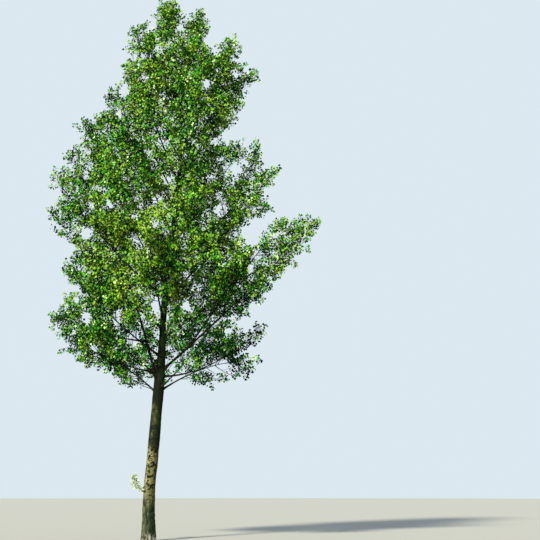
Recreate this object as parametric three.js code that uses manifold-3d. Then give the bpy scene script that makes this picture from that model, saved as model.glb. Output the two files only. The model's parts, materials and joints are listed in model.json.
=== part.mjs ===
// A tall young aspen, 17.9 m high, with one leaning trunk, rising boughs and plumes of foliage.
//
// Each limb leaves the trunk (or the upright left bough) and curves up to a tip. Its inner stretch is a
// bare bough and its outer stretch is the stem of a mass of foliage: twigs set round the stem by the
// golden angle, each with a few blades that stand for sprays of leaves. Millimetres, Z up, X to the right
// and Y away, with the origin at the centre of the flat cut under the trunk.

import * as THREE from "three";
import { mergeVertices } from "three/addons/utils/BufferGeometryUtils.js";
import Module from "manifold-3d";

const wasm = await Module();
wasm.setup();

// Driving sizes, in millimetres and degrees.
const TRUNK_TOP = 16300; // where the top mass's stem goes on
const TAPER_HEIGHT = 17400; // height at which the trunk's taper would run out
const TRUNK_RADIUS = 182; // near the ground, without the root flare
const TAPER_POWER = 1.9;
const FORK_LOSS = 0.32; // share of its radius that the trunk loses where the lowest limbs leave it
const FORK_ZONE = [4650, 6500];
const FLARE = 52; // how far the root flare stands out at the ground
const FLARE_HEIGHT = 600;
const FLARE_LOBES = 5;
const LOBE_DEPTH = 0.13; // of the radius, at the ground
const LOBE_TURN = 0.7; // radians
const LOBE_FADE = 0.6; // of the flare's height
const TRUNK_SIDES = 16;
const TRUNK_RINGS = 20;
const RING_CROWDING = 1.5; // power of the share of the trunk's length, so that rings crowd at the foot
const TRUNK_LINE = [
  [0, 0, 0],
  [-15, 10, 1500],
  [55, 25, 2400],
  [140, 30, 3700],
  [270, 0, 5800],
  [330, -60, 7400],
  [600, -40, 10300],
  [740, 60, 12500],
  [640, 90, 14600],
  [400, 20, TRUNK_TOP],
];

const GAP = 0.3; // between pieces that touch on the tree
const SHORT_EDGE = 0.05; // how far a surface may move where needless edges are taken out
const JOIN_EDGE = 1.2; // the same where blades and twigs join, before their foot is cut
const CLEAR = 6; // between a blade or twig and anything that isn't its own mass
const GOLDEN_ANGLE = 137.508;

const LIMB_ROOT_BASE = 17; // a limb's radius at its root is this and a share of its length
const LIMB_ROOT_SHARE = 0.0042;
const LIMB_TIP_RADIUS = 6;
const LIMB_TAPER_POWER = 0.85;
const BOUGH_SIDES = 7;
const BOUGH_STEP = 760; // length of bough between rings
const STEM_SIDES = 5;
const STEM_STEP = 1100;
const STEM_SUNK = 40; // how far a stem is made back into its bough, before it is cut
const SEAT_GROWTH = 1.5; // how much wider than the bough the solid is that cuts the stem's foot
const STEM_END = 0.9; // of the way to the limb's tip, where the end blades sit

const CROWN_REACH = 3450; // from the plumb line of the foot, at the widest height
const WIDEST_HEIGHT = 10000;
const CROWN_TOP = 17900;
const LOWER_SPAN = 6800;
const UPPER_SPAN = 8100;
const UPPER_POWER = 1.4;

const BLUNT = 0.4; // radius of a mass at its tip, as a share of its breadth
const FULL_AT_ROOT = 0.15; // of half a sine wave that has gone by where a mass begins
const SPACE_BALLS = 14; // balls along the stem that make up a mass's space
const FOLIAGE_START = 0.2; // of the limb's length, where it has no bough
const TWIG_ANGLE = 52;
const END_TWIG = 90; // length of the twig that goes straight on at the tip
const TWIG_LIFT = 0.32; // how much a twig turns up towards the light
const TWIG_REACH = 0.42; // of the mass's radius
const TWIG_STEP = 0.62; // length of stem between twigs, as a share of the mass's breadth
const LEAST_TWIGS = 3; // besides the one at the tip
const TWIG_ROOT = 12;
const TWIG_TIP = 7;
const BLADE_LENGTH = 1000;
const BLADE_WIDTH = 0.78; // of its length
const BLADE_WIDEST = 0.42; // of its length from its root
const BLADE_THICK = 0.022; // of its length, from the keel to the side points
const BLADE_SPLAY = 48;
const BLADE_SPREAD = 14; // of the angle at which blades of one side stand
const BLADE_TURNS = [0, -22, 22]; // tried in turn
const BLADE_SIZES = [1, 0.86, 0.74, 0.64, 0.55, 0.47, 0.4, 0.34, 0.28]; // of the full length, tried in turn
const BLADE_PLACES = [[0.42, -1], [0.68, 1], [0.94, 0]]; // share of the twig's length, and its side
const BLADE_ROOT_DEPTH = 1.5; // how far past the twig's middle a blade's root is sunk

// The limbs that make the outline seen from the front. springs is the height where a limb leaves the
// trunk, or its share of the parent's length; reach is how far its foliage reaches from the foot's plumb
// line, and top how high it is there; sag is how far its middle hangs below the straight line, as a
// share of its length; bare is the share of it that is a bough, and breadth the mass's widest radius.
const OUTLINE_LIMBS = [
  { name: "low_right", springs: 4500, azimuth: -4, reach: 3450, top: 5500,
    sag: -0.09, bare: 0.26, breadth: 500 },
  { name: "right_tuft", springs: 5000, azimuth: 10, reach: 3650, top: 6700,
    sag: 0.11, bare: 0.3, breadth: 640 },
  { name: "long_right", springs: 5120, azimuth: -5, reach: 5330, top: 10020,
    sag: 0.015, bare: 0.34, breadth: 760 },
  { name: "right_plume", from: "long_right", springs: 0.18, azimuth: -9, reach: 4330, top: 10080,
    sag: -0.02, bare: 0.22, breadth: 820 },
  { name: "right_shoulder", springs: 6050, azimuth: -16, reach: 3780, top: 10620,
    sag: -0.1, bow: 250, bare: 0.3, breadth: 640 },
  { name: "right_horn", springs: 7300, azimuth: -3, reach: 4000, top: 11850,
    sag: 0.02, bare: 0.3, breadth: 700 },
  { name: "right_prong", springs: 8500, azimuth: 9, reach: 3420, top: 12650,
    sag: 0.1, bow: -400, bare: 0.36, breadth: 560 },
  { name: "right_nub", springs: 9200, azimuth: -9, reach: 2980, top: 12720,
    sag: 0.04, bare: 0, breadth: 470 },
  { name: "right_upper", springs: 9900, azimuth: -14, reach: 2600, top: 14250,
    sag: -0.02, bare: 0.22, breadth: 760 },
  { name: "right_high", springs: 11200, azimuth: 8, reach: 3200, top: 15350,
    sag: -0.05, bare: 0.2, breadth: 700 },
  { name: "right_crest", springs: 12500, azimuth: -6, reach: 2600, top: 16250,
    sag: 0.0, bare: 0, breadth: 800 },
  { name: "right_tip", springs: 14200, azimuth: 12, reach: 1400, top: 17550,
    sag: 0.05, bare: 0, breadth: 520 },
  { name: "left_upright", springs: 4520, azimuth: 176, reach: 3000, top: 12500,
    sag: -0.02, bow: -560, bare: 0.42, breadth: 960 },
  { name: "low_left", springs: 4430, azimuth: 184, reach: 2400, top: 5950,
    sag: -0.08, bare: 0.28, breadth: 560 },
  { name: "left_skirt", from: "left_upright", springs: 0.075, azimuth: 172, reach: 2850, top: 6000,
    sag: 0.02, bare: 0.3, breadth: 740 },
  { name: "left_spur", from: "left_upright", springs: 0.2, azimuth: 187, reach: 3370, top: 6950,
    sag: 0.05, bare: 0.28, breadth: 820 },
  { name: "left_elbow", from: "left_upright", springs: 0.34, azimuth: 174, reach: 3100, top: 8400,
    sag: 0.05, bare: 0.24, breadth: 770 },
  { name: "left_flank", springs: 6500, azimuth: 190, reach: 3470, top: 10300,
    sag: 0.05, bare: 0.32, breadth: 910 },
  { name: "left_horn", springs: 7500, azimuth: 183, reach: 3580, top: 11750,
    sag: 0.05, bare: 0.34, breadth: 840 },
  { name: "left_shoulder", springs: 8900, azimuth: 190, reach: 2640, top: 13420,
    sag: 0.02, bare: 0.25, breadth: 860 },
  { name: "left_upper", springs: 10500, azimuth: 176, reach: 1820, top: 14450,
    sag: 0.03, bare: 0, breadth: 670 },
  { name: "left_high", springs: 12200, azimuth: 196, reach: 1220, top: 15450,
    sag: 0.02, bare: 0, breadth: 670 },
  { name: "left_tip", springs: 13700, azimuth: 180, reach: 1020, top: 16800,
    sag: 0.03, bare: 0, breadth: 530 },
];

// The limbs on the near and far sides of the crown follow its general outline.
const SIDE_LIMBS = 14;
const SIDE_LOWEST_TOP = 6500;
const SIDE_HIGHEST_TOP = 16600;
const SIDE_TURNS = [48, -50, 0, -25, 26]; // away from straight towards or away from the front
const SIDE_RISE = 0.74; // of the tip's height, less a fixed drop, is where a side limb springs
const SIDE_DROP = 350;
const SIDE_LOWEST_SPRING = 4600;
const SIDE_SAG = 0.04;
const SIDE_BREADTH = 1000;
const SIDE_BREADTH_LOSS = 0.028; // of the height over the lowest
const SIDE_BARE = 0.28;
const HIGHEST_BOUGH = 8400; // limbs that spring above this have no bare stretch

const TOP_MASS = { name: "crown_top", breadth: 640, tip: [230, 10, CROWN_TOP] };

// The little shoot that stands on the left of the bare trunk.
const SHOOT_HEIGHT = 1400;
const SHOOT_TIP = [-490, -60, 1960];
const SHOOT_RISE = 140; // how high over its root the middle of its bend lies
const SHOOT_RADIUS = 7;
const SHOOT_LEAFY = [0.45, 0.98]; // shares of its length between which its blades stand
const SHOOT_BLADE = 150;
const SHOOT_BLADES = 10;

const COLOURS = { bark: 0x6f6b4a, bough: 0x4d4f38, foliage: 0x4f7a2c, shoot: 0xb9b878 };

const FIRST_SEED = 101;
const HALVINGS = 40;
const UP = new THREE.Vector3(0, 0, 1);
const NO_LIMB_RUNS_THIS_WAY = new THREE.Vector3(0.31, 0.95, 0.05);

const radians = THREE.MathUtils.degToRad;

// A seeded run of numbers from 0 to 1 (mulberry32), so that the tree grows the same way each time.
function seeded(seed) {
  let state = seed >>> 0;
  return () => {
    state = (state + 0x6d2b79f5) >>> 0;
    let t = Math.imul(state ^ (state >>> 15), state | 1);
    t ^= t + Math.imul(t ^ (t >>> 7), t | 61);
    return ((t ^ (t >>> 14)) >>> 0) / 4294967296;
  };
}

// A closed geometry as a solid.
function solidOf(geometry) {
  geometry.deleteAttribute("normal");
  geometry.deleteAttribute("uv");
  const merged = mergeVertices(geometry, 1e-3);
  return new wasm.Manifold(
    new wasm.Mesh({
      numProp: 3,
      vertProperties: merged.attributes.position.array,
      triVerts: new Uint32Array(merged.index.array),
    }),
  );
}

// The largest body of a solid, with edges that hardly show taken out.
function tidied(solid, shortest = SHORT_EDGE) {
  const bodies = solid.asOriginal().simplify(shortest).decompose();
  return bodies.reduce((a, b) => (b.volume() > a.volume() ? b : a));
}

// A solid as a named mesh.
function meshOf(solid, name, colour) {
  const made = solid.getMesh();
  const geometry = new THREE.BufferGeometry();
  geometry.setAttribute("position", new THREE.BufferAttribute(made.vertProperties, 3));
  geometry.setIndex(new THREE.BufferAttribute(made.triVerts, 1));
  geometry.computeVertexNormals();
  const mesh = new THREE.Mesh(
    geometry,
    new THREE.MeshStandardMaterial({ color: colour, roughness: 0.85, metalness: 0 }),
  );
  mesh.name = name;
  return mesh;
}

// Two directions square to a tangent, the same way round all along a limb: no limb runs along the
// direction that they are worked out from.
function crossAxes(tangent) {
  const across = new THREE.Vector3().crossVectors(tangent, NO_LIMB_RUNS_THIS_WAY).normalize();
  return [across, new THREE.Vector3().crossVectors(across, tangent).normalize()];
}

// A cylinder bent along a curve from share a to share b, with a radius that depends on the share and
// the angle. Its two ends are flat, and square to the curve unless level is set.
function tube(curve, a, b, sides, rings, radiusAt, level = false) {
  const geometry = new THREE.CylinderGeometry(1, 1, 1, sides, rings);
  const place = geometry.attributes.position;
  for (let i = 0; i < place.count; i += 1) {
    const share = THREE.MathUtils.lerp(a, b, place.getY(i) + 0.5);
    const centre = curve.getPointAt(share);
    const [across, along] = level
      ? [new THREE.Vector3(1, 0, 0), new THREE.Vector3(0, 1, 0)]
      : crossAxes(curve.getTangentAt(share));
    const x = place.getX(i);
    const z = level ? -place.getZ(i) : place.getZ(i);
    const radius = radiusAt(share, Math.atan2(z, x));
    const point = centre.addScaledVector(across, radius * x).addScaledVector(along, radius * z);
    place.setXYZ(i, point.x, point.y, point.z);
  }
  return solidOf(geometry);
}

// Trunk

const trunkLine = new THREE.CatmullRomCurve3(TRUNK_LINE.map((p) => new THREE.Vector3(...p)));

// The trunk's centre at a height, found by halving.
function trunkCentre(height) {
  let low = 0;
  let high = 1;
  for (let i = 0; i < HALVINGS; i += 1) {
    const middle = (low + high) / 2;
    if (trunkLine.getPointAt(middle).z < height) low = middle;
    else high = middle;
  }
  return trunkLine.getPointAt(low);
}

// The trunk's radius at a height and angle: its taper, what the lowest limbs take of it, its root flare
// and the flare's lobes.
function trunkRadius(height, angle) {
  const fade = Math.exp(-height / (FLARE_HEIGHT * LOBE_FADE));
  const lobes = LOBE_DEPTH * Math.cos(FLARE_LOBES * angle + LOBE_TURN) * fade;
  const left = 1 - FORK_LOSS * THREE.MathUtils.smoothstep(height, ...FORK_ZONE);
  const taper = TRUNK_RADIUS * (1 - (height / TAPER_HEIGHT) ** TAPER_POWER) * left;
  return (taper + FLARE * Math.exp(-height / FLARE_HEIGHT)) * (1 + lobes);
}

// Rings lie closer together near the ground, where the flare bends. The extra is added to the radius
// and to the top.
function trunkSolid(extra) {
  const crowd = (share) => share ** RING_CROWDING;
  const line = {
    getPointAt: (share) => trunkLine.getPointAt(crowd(share)).addScaledVector(UP, extra * share),
    getTangentAt: (share) => trunkLine.getTangentAt(crowd(share)),
  };
  const radius = (share, angle) => trunkRadius(trunkLine.getPointAt(crowd(share)).z, angle) + extra;
  return tube(line, 0, 1, TRUNK_SIDES, TRUNK_RINGS, radius, true);
}

// Limbs

// How far the crown reaches at a height: part of an ellipse below its widest height, then a soft cone.
function crownReach(height) {
  if (height < WIDEST_HEIGHT) {
    return CROWN_REACH * Math.sqrt(1 - ((WIDEST_HEIGHT - height) / LOWER_SPAN) ** 2);
  }
  return CROWN_REACH * (1 - ((height - WIDEST_HEIGHT) / UPPER_SPAN) ** UPPER_POWER);
}

function sideLimbs() {
  return Array.from({ length: SIDE_LIMBS }, (_, i) => {
    const near = i % 2 === 0;
    const top = THREE.MathUtils.lerp(SIDE_LOWEST_TOP, SIDE_HIGHEST_TOP, i / (SIDE_LIMBS - 1));
    const turn = SIDE_TURNS[Math.floor(i / 2) % SIDE_TURNS.length];
    return {
      name: `${near ? "near" : "far"}_side_${Math.floor(i / 2) + 1}`,
      springs: Math.max(SIDE_LOWEST_SPRING, top * SIDE_RISE - SIDE_DROP),
      azimuth: (near ? -90 : 90) + turn,
      reach: crownReach(top),
      top,
      sag: SIDE_SAG,
      bare: SIDE_BARE,
      breadth: SIDE_BREADTH - SIDE_BREADTH_LOSS * (top - SIDE_LOWEST_TOP),
    };
  });
}

// A limb's curve and the space of its foliage. Its tip lies inside the reach by the mass's blunt radius.
function grown(spec, limbs) {
  const parent = spec.from ? limbs.find((limb) => limb.name === spec.from) : null;
  const root = parent ? parent.curve.getPointAt(spec.springs) : trunkCentre(spec.springs);
  const turn = radians(spec.azimuth);
  const tip = new THREE.Vector3(spec.reach * Math.cos(turn), spec.reach * Math.sin(turn), spec.top);
  tip.addScaledVector(tip.clone().sub(root).normalize(), -BLUNT * spec.breadth);
  const length = root.distanceTo(tip);
  const middle = root.clone().lerp(tip, 0.5);
  middle.z -= 2 * spec.sag * length;
  middle.x -= spec.bow ?? 0;
  const curve = new THREE.QuadraticBezierCurve3(root, middle, tip);
  const bare = (spec.from ? 0 : spec.springs) > HIGHEST_BOUGH ? 0 : spec.bare;
  return withSpace({ ...spec, parent, curve, bare, length: curve.getLength() });
}

// The limb that goes on from the top of the trunk.
function topLimb() {
  const root = trunkLine.getPointAt(1);
  const tip = new THREE.Vector3(...TOP_MASS.tip);
  tip.z -= BLUNT * TOP_MASS.breadth;
  const curve = new THREE.QuadraticBezierCurve3(root, root.clone().lerp(tip, 0.5), tip);
  return withSpace({ ...TOP_MASS, curve, bare: 0, length: curve.getLength(), crown: true });
}

// A mass's radius along it, as a share of its breadth: full near the root and blunt at the tip.
function spindle(share) {
  return BLUNT + (1 - BLUNT) * Math.sin(Math.PI * THREE.MathUtils.lerp(FULL_AT_ROOT, 1, share));
}

// A limb with the balls along its stem that make up the space of its foliage.
function withSpace(limb) {
  const start = limb.crown ? 0 : Math.max(limb.bare, FOLIAGE_START);
  const balls = Array.from({ length: SPACE_BALLS }, (_, i) => {
    const share = i / (SPACE_BALLS - 1);
    return {
      centre: limb.curve.getPointAt(THREE.MathUtils.lerp(start, 1, share)),
      radius: limb.breadth * spindle(share),
    };
  });
  return { ...limb, start, balls };
}

// A limb's radius at a share of its length.
function limbRadius(limb, share) {
  const root = limb.crown ? trunkRadius(TRUNK_TOP, 0) : LIMB_ROOT_BASE + LIMB_ROOT_SHARE * limb.length;
  return THREE.MathUtils.lerp(root, LIMB_TIP_RADIUS, share ** LIMB_TAPER_POWER);
}

// The bare stretch of a limb, with the extra added to its radius.
function boughTube(limb, extra) {
  const rings = Math.max(3, Math.round((limb.length * limb.bare) / BOUGH_STEP));
  return tube(limb.curve, 0, limb.bare, BOUGH_SIDES, rings, (share) => limbRadius(limb, share) + extra);
}

// Foliage

// How far out of a limb's space a point lies: under 1 is inside.
function spaceRatio(limb, point) {
  return Math.min(...limb.balls.map((ball) => point.distanceTo(ball.centre) / ball.radius));
}

// A point keeps to a limb's space where it is inside, and deeper in than in any other limb's.
function keepsTo(limb, limbs, point) {
  const ratio = spaceRatio(limb, point);
  return ratio <= 1 && limbs.every((other) => other === limb || spaceRatio(other, point) > ratio);
}

// A kite-shaped blade of four faces: a tetrahedron drawn out flat, with its keel from root to tip and
// its two side points a little below the keel.
function bladeAt(root, direction, facing, length) {
  const geometry = new THREE.TetrahedronGeometry(1);
  const normal = facing.clone().addScaledVector(direction, -facing.dot(direction)).normalize();
  const across = new THREE.Vector3().crossVectors(direction, normal);
  const place = geometry.attributes.position;
  const outline = [];
  for (let i = 0; i < place.count; i += 1) {
    const lengthwise = Math.sign(Math.round(place.getX(i) + place.getY(i)));
    const sidewise = Math.sign(Math.round(place.getX(i) - place.getY(i)));
    const along = [-BLADE_ROOT_DEPTH, length * BLADE_WIDEST, length][lengthwise + 1];
    const point = root.clone().addScaledVector(direction, along);
    point.addScaledVector(across, (sidewise * length * BLADE_WIDTH) / 2);
    if (sidewise !== 0) point.addScaledVector(normal, -length * BLADE_THICK);
    place.setXYZ(i, point.x, point.y, point.z);
    if (lengthwise >= 0) outline.push(point);
  }
  return { solid: solidOf(geometry), outline };
}

// A three-sided twig.
function twigAt(root, tip, rootRadius, tipRadius) {
  const line = new THREE.LineCurve3(root, tip);
  return tube(line, 0, 1, 3, 1, (share) => THREE.MathUtils.lerp(rootRadius, tipRadius, share));
}

// Whether a solid keeps its clearance to all the others.
function farFrom(solid, others) {
  return others.every((other) => solid.minGap(other, CLEAR) >= CLEAR);
}

// Whether a solid's box comes near the box round a limb's balls.
function nearTo(solid, limb) {
  const reach = new THREE.Box3();
  limb.balls.forEach((ball) => reach.expandByPoint(ball.centre));
  reach.expandByScalar(limb.breadth + BLADE_LENGTH);
  const { min, max } = solid.boundingBox();
  return reach.intersectsBox(new THREE.Box3(new THREE.Vector3(...min), new THREE.Vector3(...max)));
}

// What a mass's stem stands on, a little grown: the trunk, or the outer half of the limb's own bough.
function seatSolid(limb) {
  if (limb.bare === 0) return trunkGrown;
  const radius = (share) => limbRadius(limb, share) * SEAT_GROWTH;
  return tube(limb.curve, limb.bare / 2, limb.bare + GAP / limb.length, BOUGH_SIDES, 2, radius);
}

// The stem of a mass, from inside what it stands on.
function stemSolid(limb) {
  const from = Math.max(0, limb.bare - STEM_SUNK / limb.length);
  const rings = Math.max(2, Math.round((limb.length * (1 - limb.bare)) / STEM_STEP));
  return tube(limb.curve, from, STEM_END, STEM_SIDES, rings, (share) => limbRadius(limb, share));
}

// A twig's root, direction and sides, at a turn round the stem; the last one goes straight on.
function twigFrame(limb, share, turn, atEnd) {
  const root = limb.curve.getPointAt(Math.min(share, STEM_END - 0.01));
  const tangent = limb.curve.getTangentAt(share);
  const [across, along] = crossAxes(tangent);
  const outward = across.multiplyScalar(Math.cos(turn)).addScaledVector(along, Math.sin(turn));
  const tilt = radians(atEnd ? 0 : TWIG_ANGLE);
  const direction = tangent.multiplyScalar(Math.cos(tilt)).addScaledVector(outward, Math.sin(tilt));
  direction.addScaledVector(UP, atEnd ? 0 : TWIG_LIFT).normalize();
  const sideways = new THREE.Vector3().crossVectors(direction, outward).normalize();
  return { root, outward, direction, sideways };
}

// The blade that stands on a twig's side, as long as its room allows, or none. It is turned a little to
// either side where it would touch another.
function fittedBlade(limb, root, frame, side, others, random) {
  const spread = BLADE_SPREAD * (random() - 0.5);
  const facing = frame.outward.clone().addScaledVector(UP, 0.5 + 0.5 * random());
  facing.addScaledVector(frame.sideways, random() - 0.5);
  for (const share of BLADE_SIZES) {
    for (const turn of BLADE_TURNS) {
      const splay = radians(BLADE_SPLAY * side + spread + turn);
      const heading = frame.direction.clone().multiplyScalar(Math.cos(splay));
      heading.addScaledVector(frame.sideways, Math.sin(splay)).normalize();
      const blade = bladeAt(root, heading, facing, BLADE_LENGTH * share);
      if (!blade.outline.every((point) => keepsTo(limb, limbs, point))) continue;
      if (farFrom(blade.solid, others)) return blade.solid;
    }
  }
  return null;
}

// Twigs round the stem by the golden angle, turned up to the light, with blades on both sides.
function massSolid(limb, others, seed) {
  const random = seeded(seed);
  const stem = stemSolid(limb);
  const twigs = [];
  const blades = [];
  const stretch = limb.length * (STEM_END - limb.start);
  const count = Math.max(LEAST_TWIGS, Math.round(stretch / (limb.breadth * TWIG_STEP)));
  for (let i = 0; i <= count; i += 1) {
    const atEnd = i === count;
    const share = atEnd ? STEM_END : THREE.MathUtils.lerp(limb.start, STEM_END, (i + 0.5) / count);
    const frame = twigFrame(limb, share, radians(i * GOLDEN_ANGLE), atEnd);
    const space = limb.breadth * spindle((share - limb.start) / (1 - limb.start));
    const reach = atEnd ? END_TWIG : (space * TWIG_REACH) / Math.sin(radians(TWIG_ANGLE));
    const tip = frame.root.clone().addScaledVector(frame.direction, reach);
    const twig = twigAt(frame.root, tip, THREE.MathUtils.lerp(TWIG_ROOT, TWIG_TIP, share), TWIG_TIP);
    if (!keepsTo(limb, limbs, tip) || !farFrom(twig, [...others, ...blades])) continue;
    for (const [spot, side] of BLADE_PLACES) {
      const root = frame.root.clone().lerp(tip, spot);
      const blade = fittedBlade(limb, root, frame, side, [...others, stem, ...twigs, ...blades], random);
      if (blade) blades.push(blade);
    }
    twigs.push(twig);
  }
  const mass = [...twigs, ...blades].reduce((joined, piece) => joined.add(piece), stem);
  return tidied(tidied(mass, JOIN_EDGE).subtract(seatSolid(limb)));
}

// The shoot on the bare trunk: a thin bent stem with blades up its outer stretch.
function shootSolid() {
  const root = trunkCentre(SHOOT_HEIGHT);
  const tip = new THREE.Vector3(...SHOOT_TIP);
  const middle = new THREE.Vector3(tip.x, tip.y, root.z + SHOOT_RISE);
  const curve = new THREE.QuadraticBezierCurve3(root, middle, tip);
  const radius = (share) => THREE.MathUtils.lerp(SHOOT_RADIUS, SHOOT_RADIUS / 2, share);
  let shoot = tube(curve, 0, 1, 4, 5, radius).subtract(trunkGrown);
  for (let i = 0; i < SHOOT_BLADES; i += 1) {
    const share = THREE.MathUtils.lerp(...SHOOT_LEAFY, i / (SHOOT_BLADES - 1));
    const turn = radians(i * GOLDEN_ANGLE);
    const heading = new THREE.Vector3(Math.cos(turn), Math.sin(turn), 0.45).normalize();
    const facing = new THREE.Vector3(-0.3 * Math.cos(turn), -0.8, 1).normalize();
    const blade = bladeAt(curve.getPointAt(share), heading, facing, SHOOT_BLADE);
    if (farFrom(blade.solid, [trunkGrown])) shoot = shoot.add(blade.solid);
  }
  return tidied(shoot);
}

// The tree

const aspen = new THREE.Group();
const trunkGrown = trunkSolid(GAP);
aspen.add(meshOf(trunkSolid(0), "trunk", COLOURS.bark));

const limbs = [];
for (const spec of [...OUTLINE_LIMBS, ...sideLimbs()]) limbs.push(grown(spec, limbs));
limbs.push(topLimb());

const boughs = new Map();
for (const limb of limbs.filter((each) => each.bare > 0)) {
  const parent = limb.parent ? boughTube(limb.parent, GAP) : trunkGrown;
  const bough = tidied(boughTube(limb, 0).subtract(parent));
  boughs.set(limb.name, bough);
  aspen.add(meshOf(bough, `${limb.name}_bough`, COLOURS.bough));
}

// Each mass is its bare stem until its turn comes, so that foliage keeps clear of every stem.
const masses = limbs.map((limb) => tidied(stemSolid(limb).subtract(seatSolid(limb))));
limbs.forEach((limb, i) => {
  const others = [trunkGrown, ...boughs.values(), ...masses.filter((_, j) => j !== i)];
  const near = others.filter((other) => nearTo(other, limb));
  masses[i] = massSolid(limb, near, FIRST_SEED + i);
  aspen.add(meshOf(masses[i], `${limb.name}_foliage`, COLOURS.foliage));
});

aspen.add(meshOf(shootSolid(), "trunk_shoot", COLOURS.shoot));

export default aspen;
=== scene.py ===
"""A tall young aspen with its bark, twigs and leaves.

The trunk and limbs are surfaces worked out on grids, with the relief of their bark. The foliage grows on
from the limbs by the rule that shaped the solids: shoots round each stem by the golden angle, twigs round
each shoot, and leaves on their stalks round each twig, all within the same spaces. Sizes are in
millimetres until a mesh is made, with Z up, X to the right and Y away.
"""

import json
import logging
import math
from dataclasses import dataclass, field
from enum import Enum
from typing import Any, Callable

import bpy
import numpy as np
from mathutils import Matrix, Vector

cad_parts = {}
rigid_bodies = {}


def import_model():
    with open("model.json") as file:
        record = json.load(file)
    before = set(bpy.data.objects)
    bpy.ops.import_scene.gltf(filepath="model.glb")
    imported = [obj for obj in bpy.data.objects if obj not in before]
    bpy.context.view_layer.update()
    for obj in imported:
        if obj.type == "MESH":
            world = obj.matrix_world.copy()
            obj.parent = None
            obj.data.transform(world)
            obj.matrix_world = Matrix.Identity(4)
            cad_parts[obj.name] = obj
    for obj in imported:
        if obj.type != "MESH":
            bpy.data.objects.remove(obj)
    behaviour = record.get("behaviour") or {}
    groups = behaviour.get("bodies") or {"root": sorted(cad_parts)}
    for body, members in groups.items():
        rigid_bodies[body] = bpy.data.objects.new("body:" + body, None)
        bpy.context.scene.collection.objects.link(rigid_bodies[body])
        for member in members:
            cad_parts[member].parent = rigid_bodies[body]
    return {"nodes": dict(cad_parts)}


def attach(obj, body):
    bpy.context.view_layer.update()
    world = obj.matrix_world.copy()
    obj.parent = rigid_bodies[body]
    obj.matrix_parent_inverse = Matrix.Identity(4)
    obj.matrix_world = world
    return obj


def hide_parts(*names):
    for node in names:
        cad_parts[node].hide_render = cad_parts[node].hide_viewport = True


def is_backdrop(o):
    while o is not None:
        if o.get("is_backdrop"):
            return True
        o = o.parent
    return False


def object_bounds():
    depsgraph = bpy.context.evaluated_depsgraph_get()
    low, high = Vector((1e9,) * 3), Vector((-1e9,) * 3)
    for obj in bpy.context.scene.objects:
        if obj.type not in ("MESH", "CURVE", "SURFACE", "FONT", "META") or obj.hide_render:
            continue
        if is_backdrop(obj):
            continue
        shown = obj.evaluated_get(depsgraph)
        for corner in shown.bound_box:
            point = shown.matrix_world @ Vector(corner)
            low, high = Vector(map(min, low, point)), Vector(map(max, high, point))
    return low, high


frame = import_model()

LOG = logging.getLogger("aspen")
METRES = 0.001  # metres in a millimetre
BODY = "root"
UP = np.array([0.0, 0.0, 1.0])
GOLDEN_ANGLE = math.radians(137.508)
PATH_STEPS = 24
UPRIGHT_FROM = 0.8  # the least part of Z in the direction of an upright stem
LINE_SAG = 0.07  # how far a line's middle hangs, in its length
LINE_SWAY = 0.035  # how far it strays, in its length


class Slot(Enum):
    """The record's material slots."""

    TRUNK = "trunk_bark"
    LIMB = "limb_bark"
    FOLIAGE = "foliage"
    SHOOT = "shoot_leaves"


class Part(Enum):
    """The parts of the crown that foliage is gathered in, each with the height where it ends."""

    LOW = 9000.0
    MIDDLE = 13000.0
    HIGH = 20000.0


# Arrays


def unit(vectors: np.ndarray) -> np.ndarray:
    """Vectors made one long."""
    return vectors / np.maximum(np.linalg.norm(vectors, axis=-1, keepdims=True), 1e-9)


def mix(low: Any, high: Any, share: Any) -> Any:
    """Straight mix of two values: low at share 0 and high at share 1."""
    return low + (high - low) * share


def ease(low: float, high: float, value: np.ndarray) -> np.ndarray:
    """Smooth step: 0 up to low, 1 from high on, and the cubic 3t^2 - 2t^3 between."""
    share = np.clip((value - low) / (high - low), 0.0, 1.0)
    return share * share * (3.0 - 2.0 * share)


def band(zone: tuple[float, float, float, float], value: np.ndarray) -> np.ndarray:
    """Smooth band: it rises from 0 to 1 between the zone's first two numbers and falls between its last."""
    return ease(*zone[:2], value) * (1.0 - ease(*zone[2:], value))


def ridge(value: np.ndarray, sharpness: float) -> np.ndarray:
    """1 - sharpness |2v - 1|, which is 1 along the lines where a noise is one half."""
    return 1.0 - np.abs(2.0 * value - 1.0) * sharpness


def noise(points: np.ndarray, cell: tuple[float, float, float], seed: int) -> np.ndarray:
    """Value noise.

    Each whole-number corner of a lattice has a random number from 0 to 1, and the eight corners round a
    point are mixed by a smooth step in each direction.

    Args:
        points: places, with three numbers in the last axis.
        cell: size of a lattice cell in each direction.
        seed: another seed gives another pattern.

    Returns:
        One number from 0 to 1 for each point.
    """
    scaled = points / np.asarray(cell)
    base = np.floor(scaled).astype(np.int64)
    share = scaled - base
    share = share * share * (3.0 - 2.0 * share)
    total = np.zeros(points.shape[:-1])
    for corner in np.ndindex(2, 2, 2):
        whole = (base + np.array(corner)) & 0xFFFF
        mixed = whole[..., 0] * 73856093 ^ whole[..., 1] * 19349663 ^ whole[..., 2] * 83492791
        mixed = (mixed ^ (seed * 2654435761)) & 0xFFFFFFFF
        mixed = ((mixed ^ (mixed >> 15)) * 2246822519) & 0xFFFFFFFF
        mixed = ((mixed ^ (mixed >> 13)) * 3266489917) & 0xFFFFFFFF
        weight = np.prod(np.where(np.array(corner) == 1, share, 1.0 - share), axis=-1)
        total += weight * ((mixed >> 16) & 0xFFFF) / 65535.0
    return total


@dataclass(frozen=True)
class Pattern:
    """A value noise by the size of its cells, in millimetres, and its seed."""

    cell: tuple[float, float, float]
    seed: int

    def at(self, points: np.ndarray) -> np.ndarray:
        """The noise at some places."""
        return noise(points, self.cell, self.seed)


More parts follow.
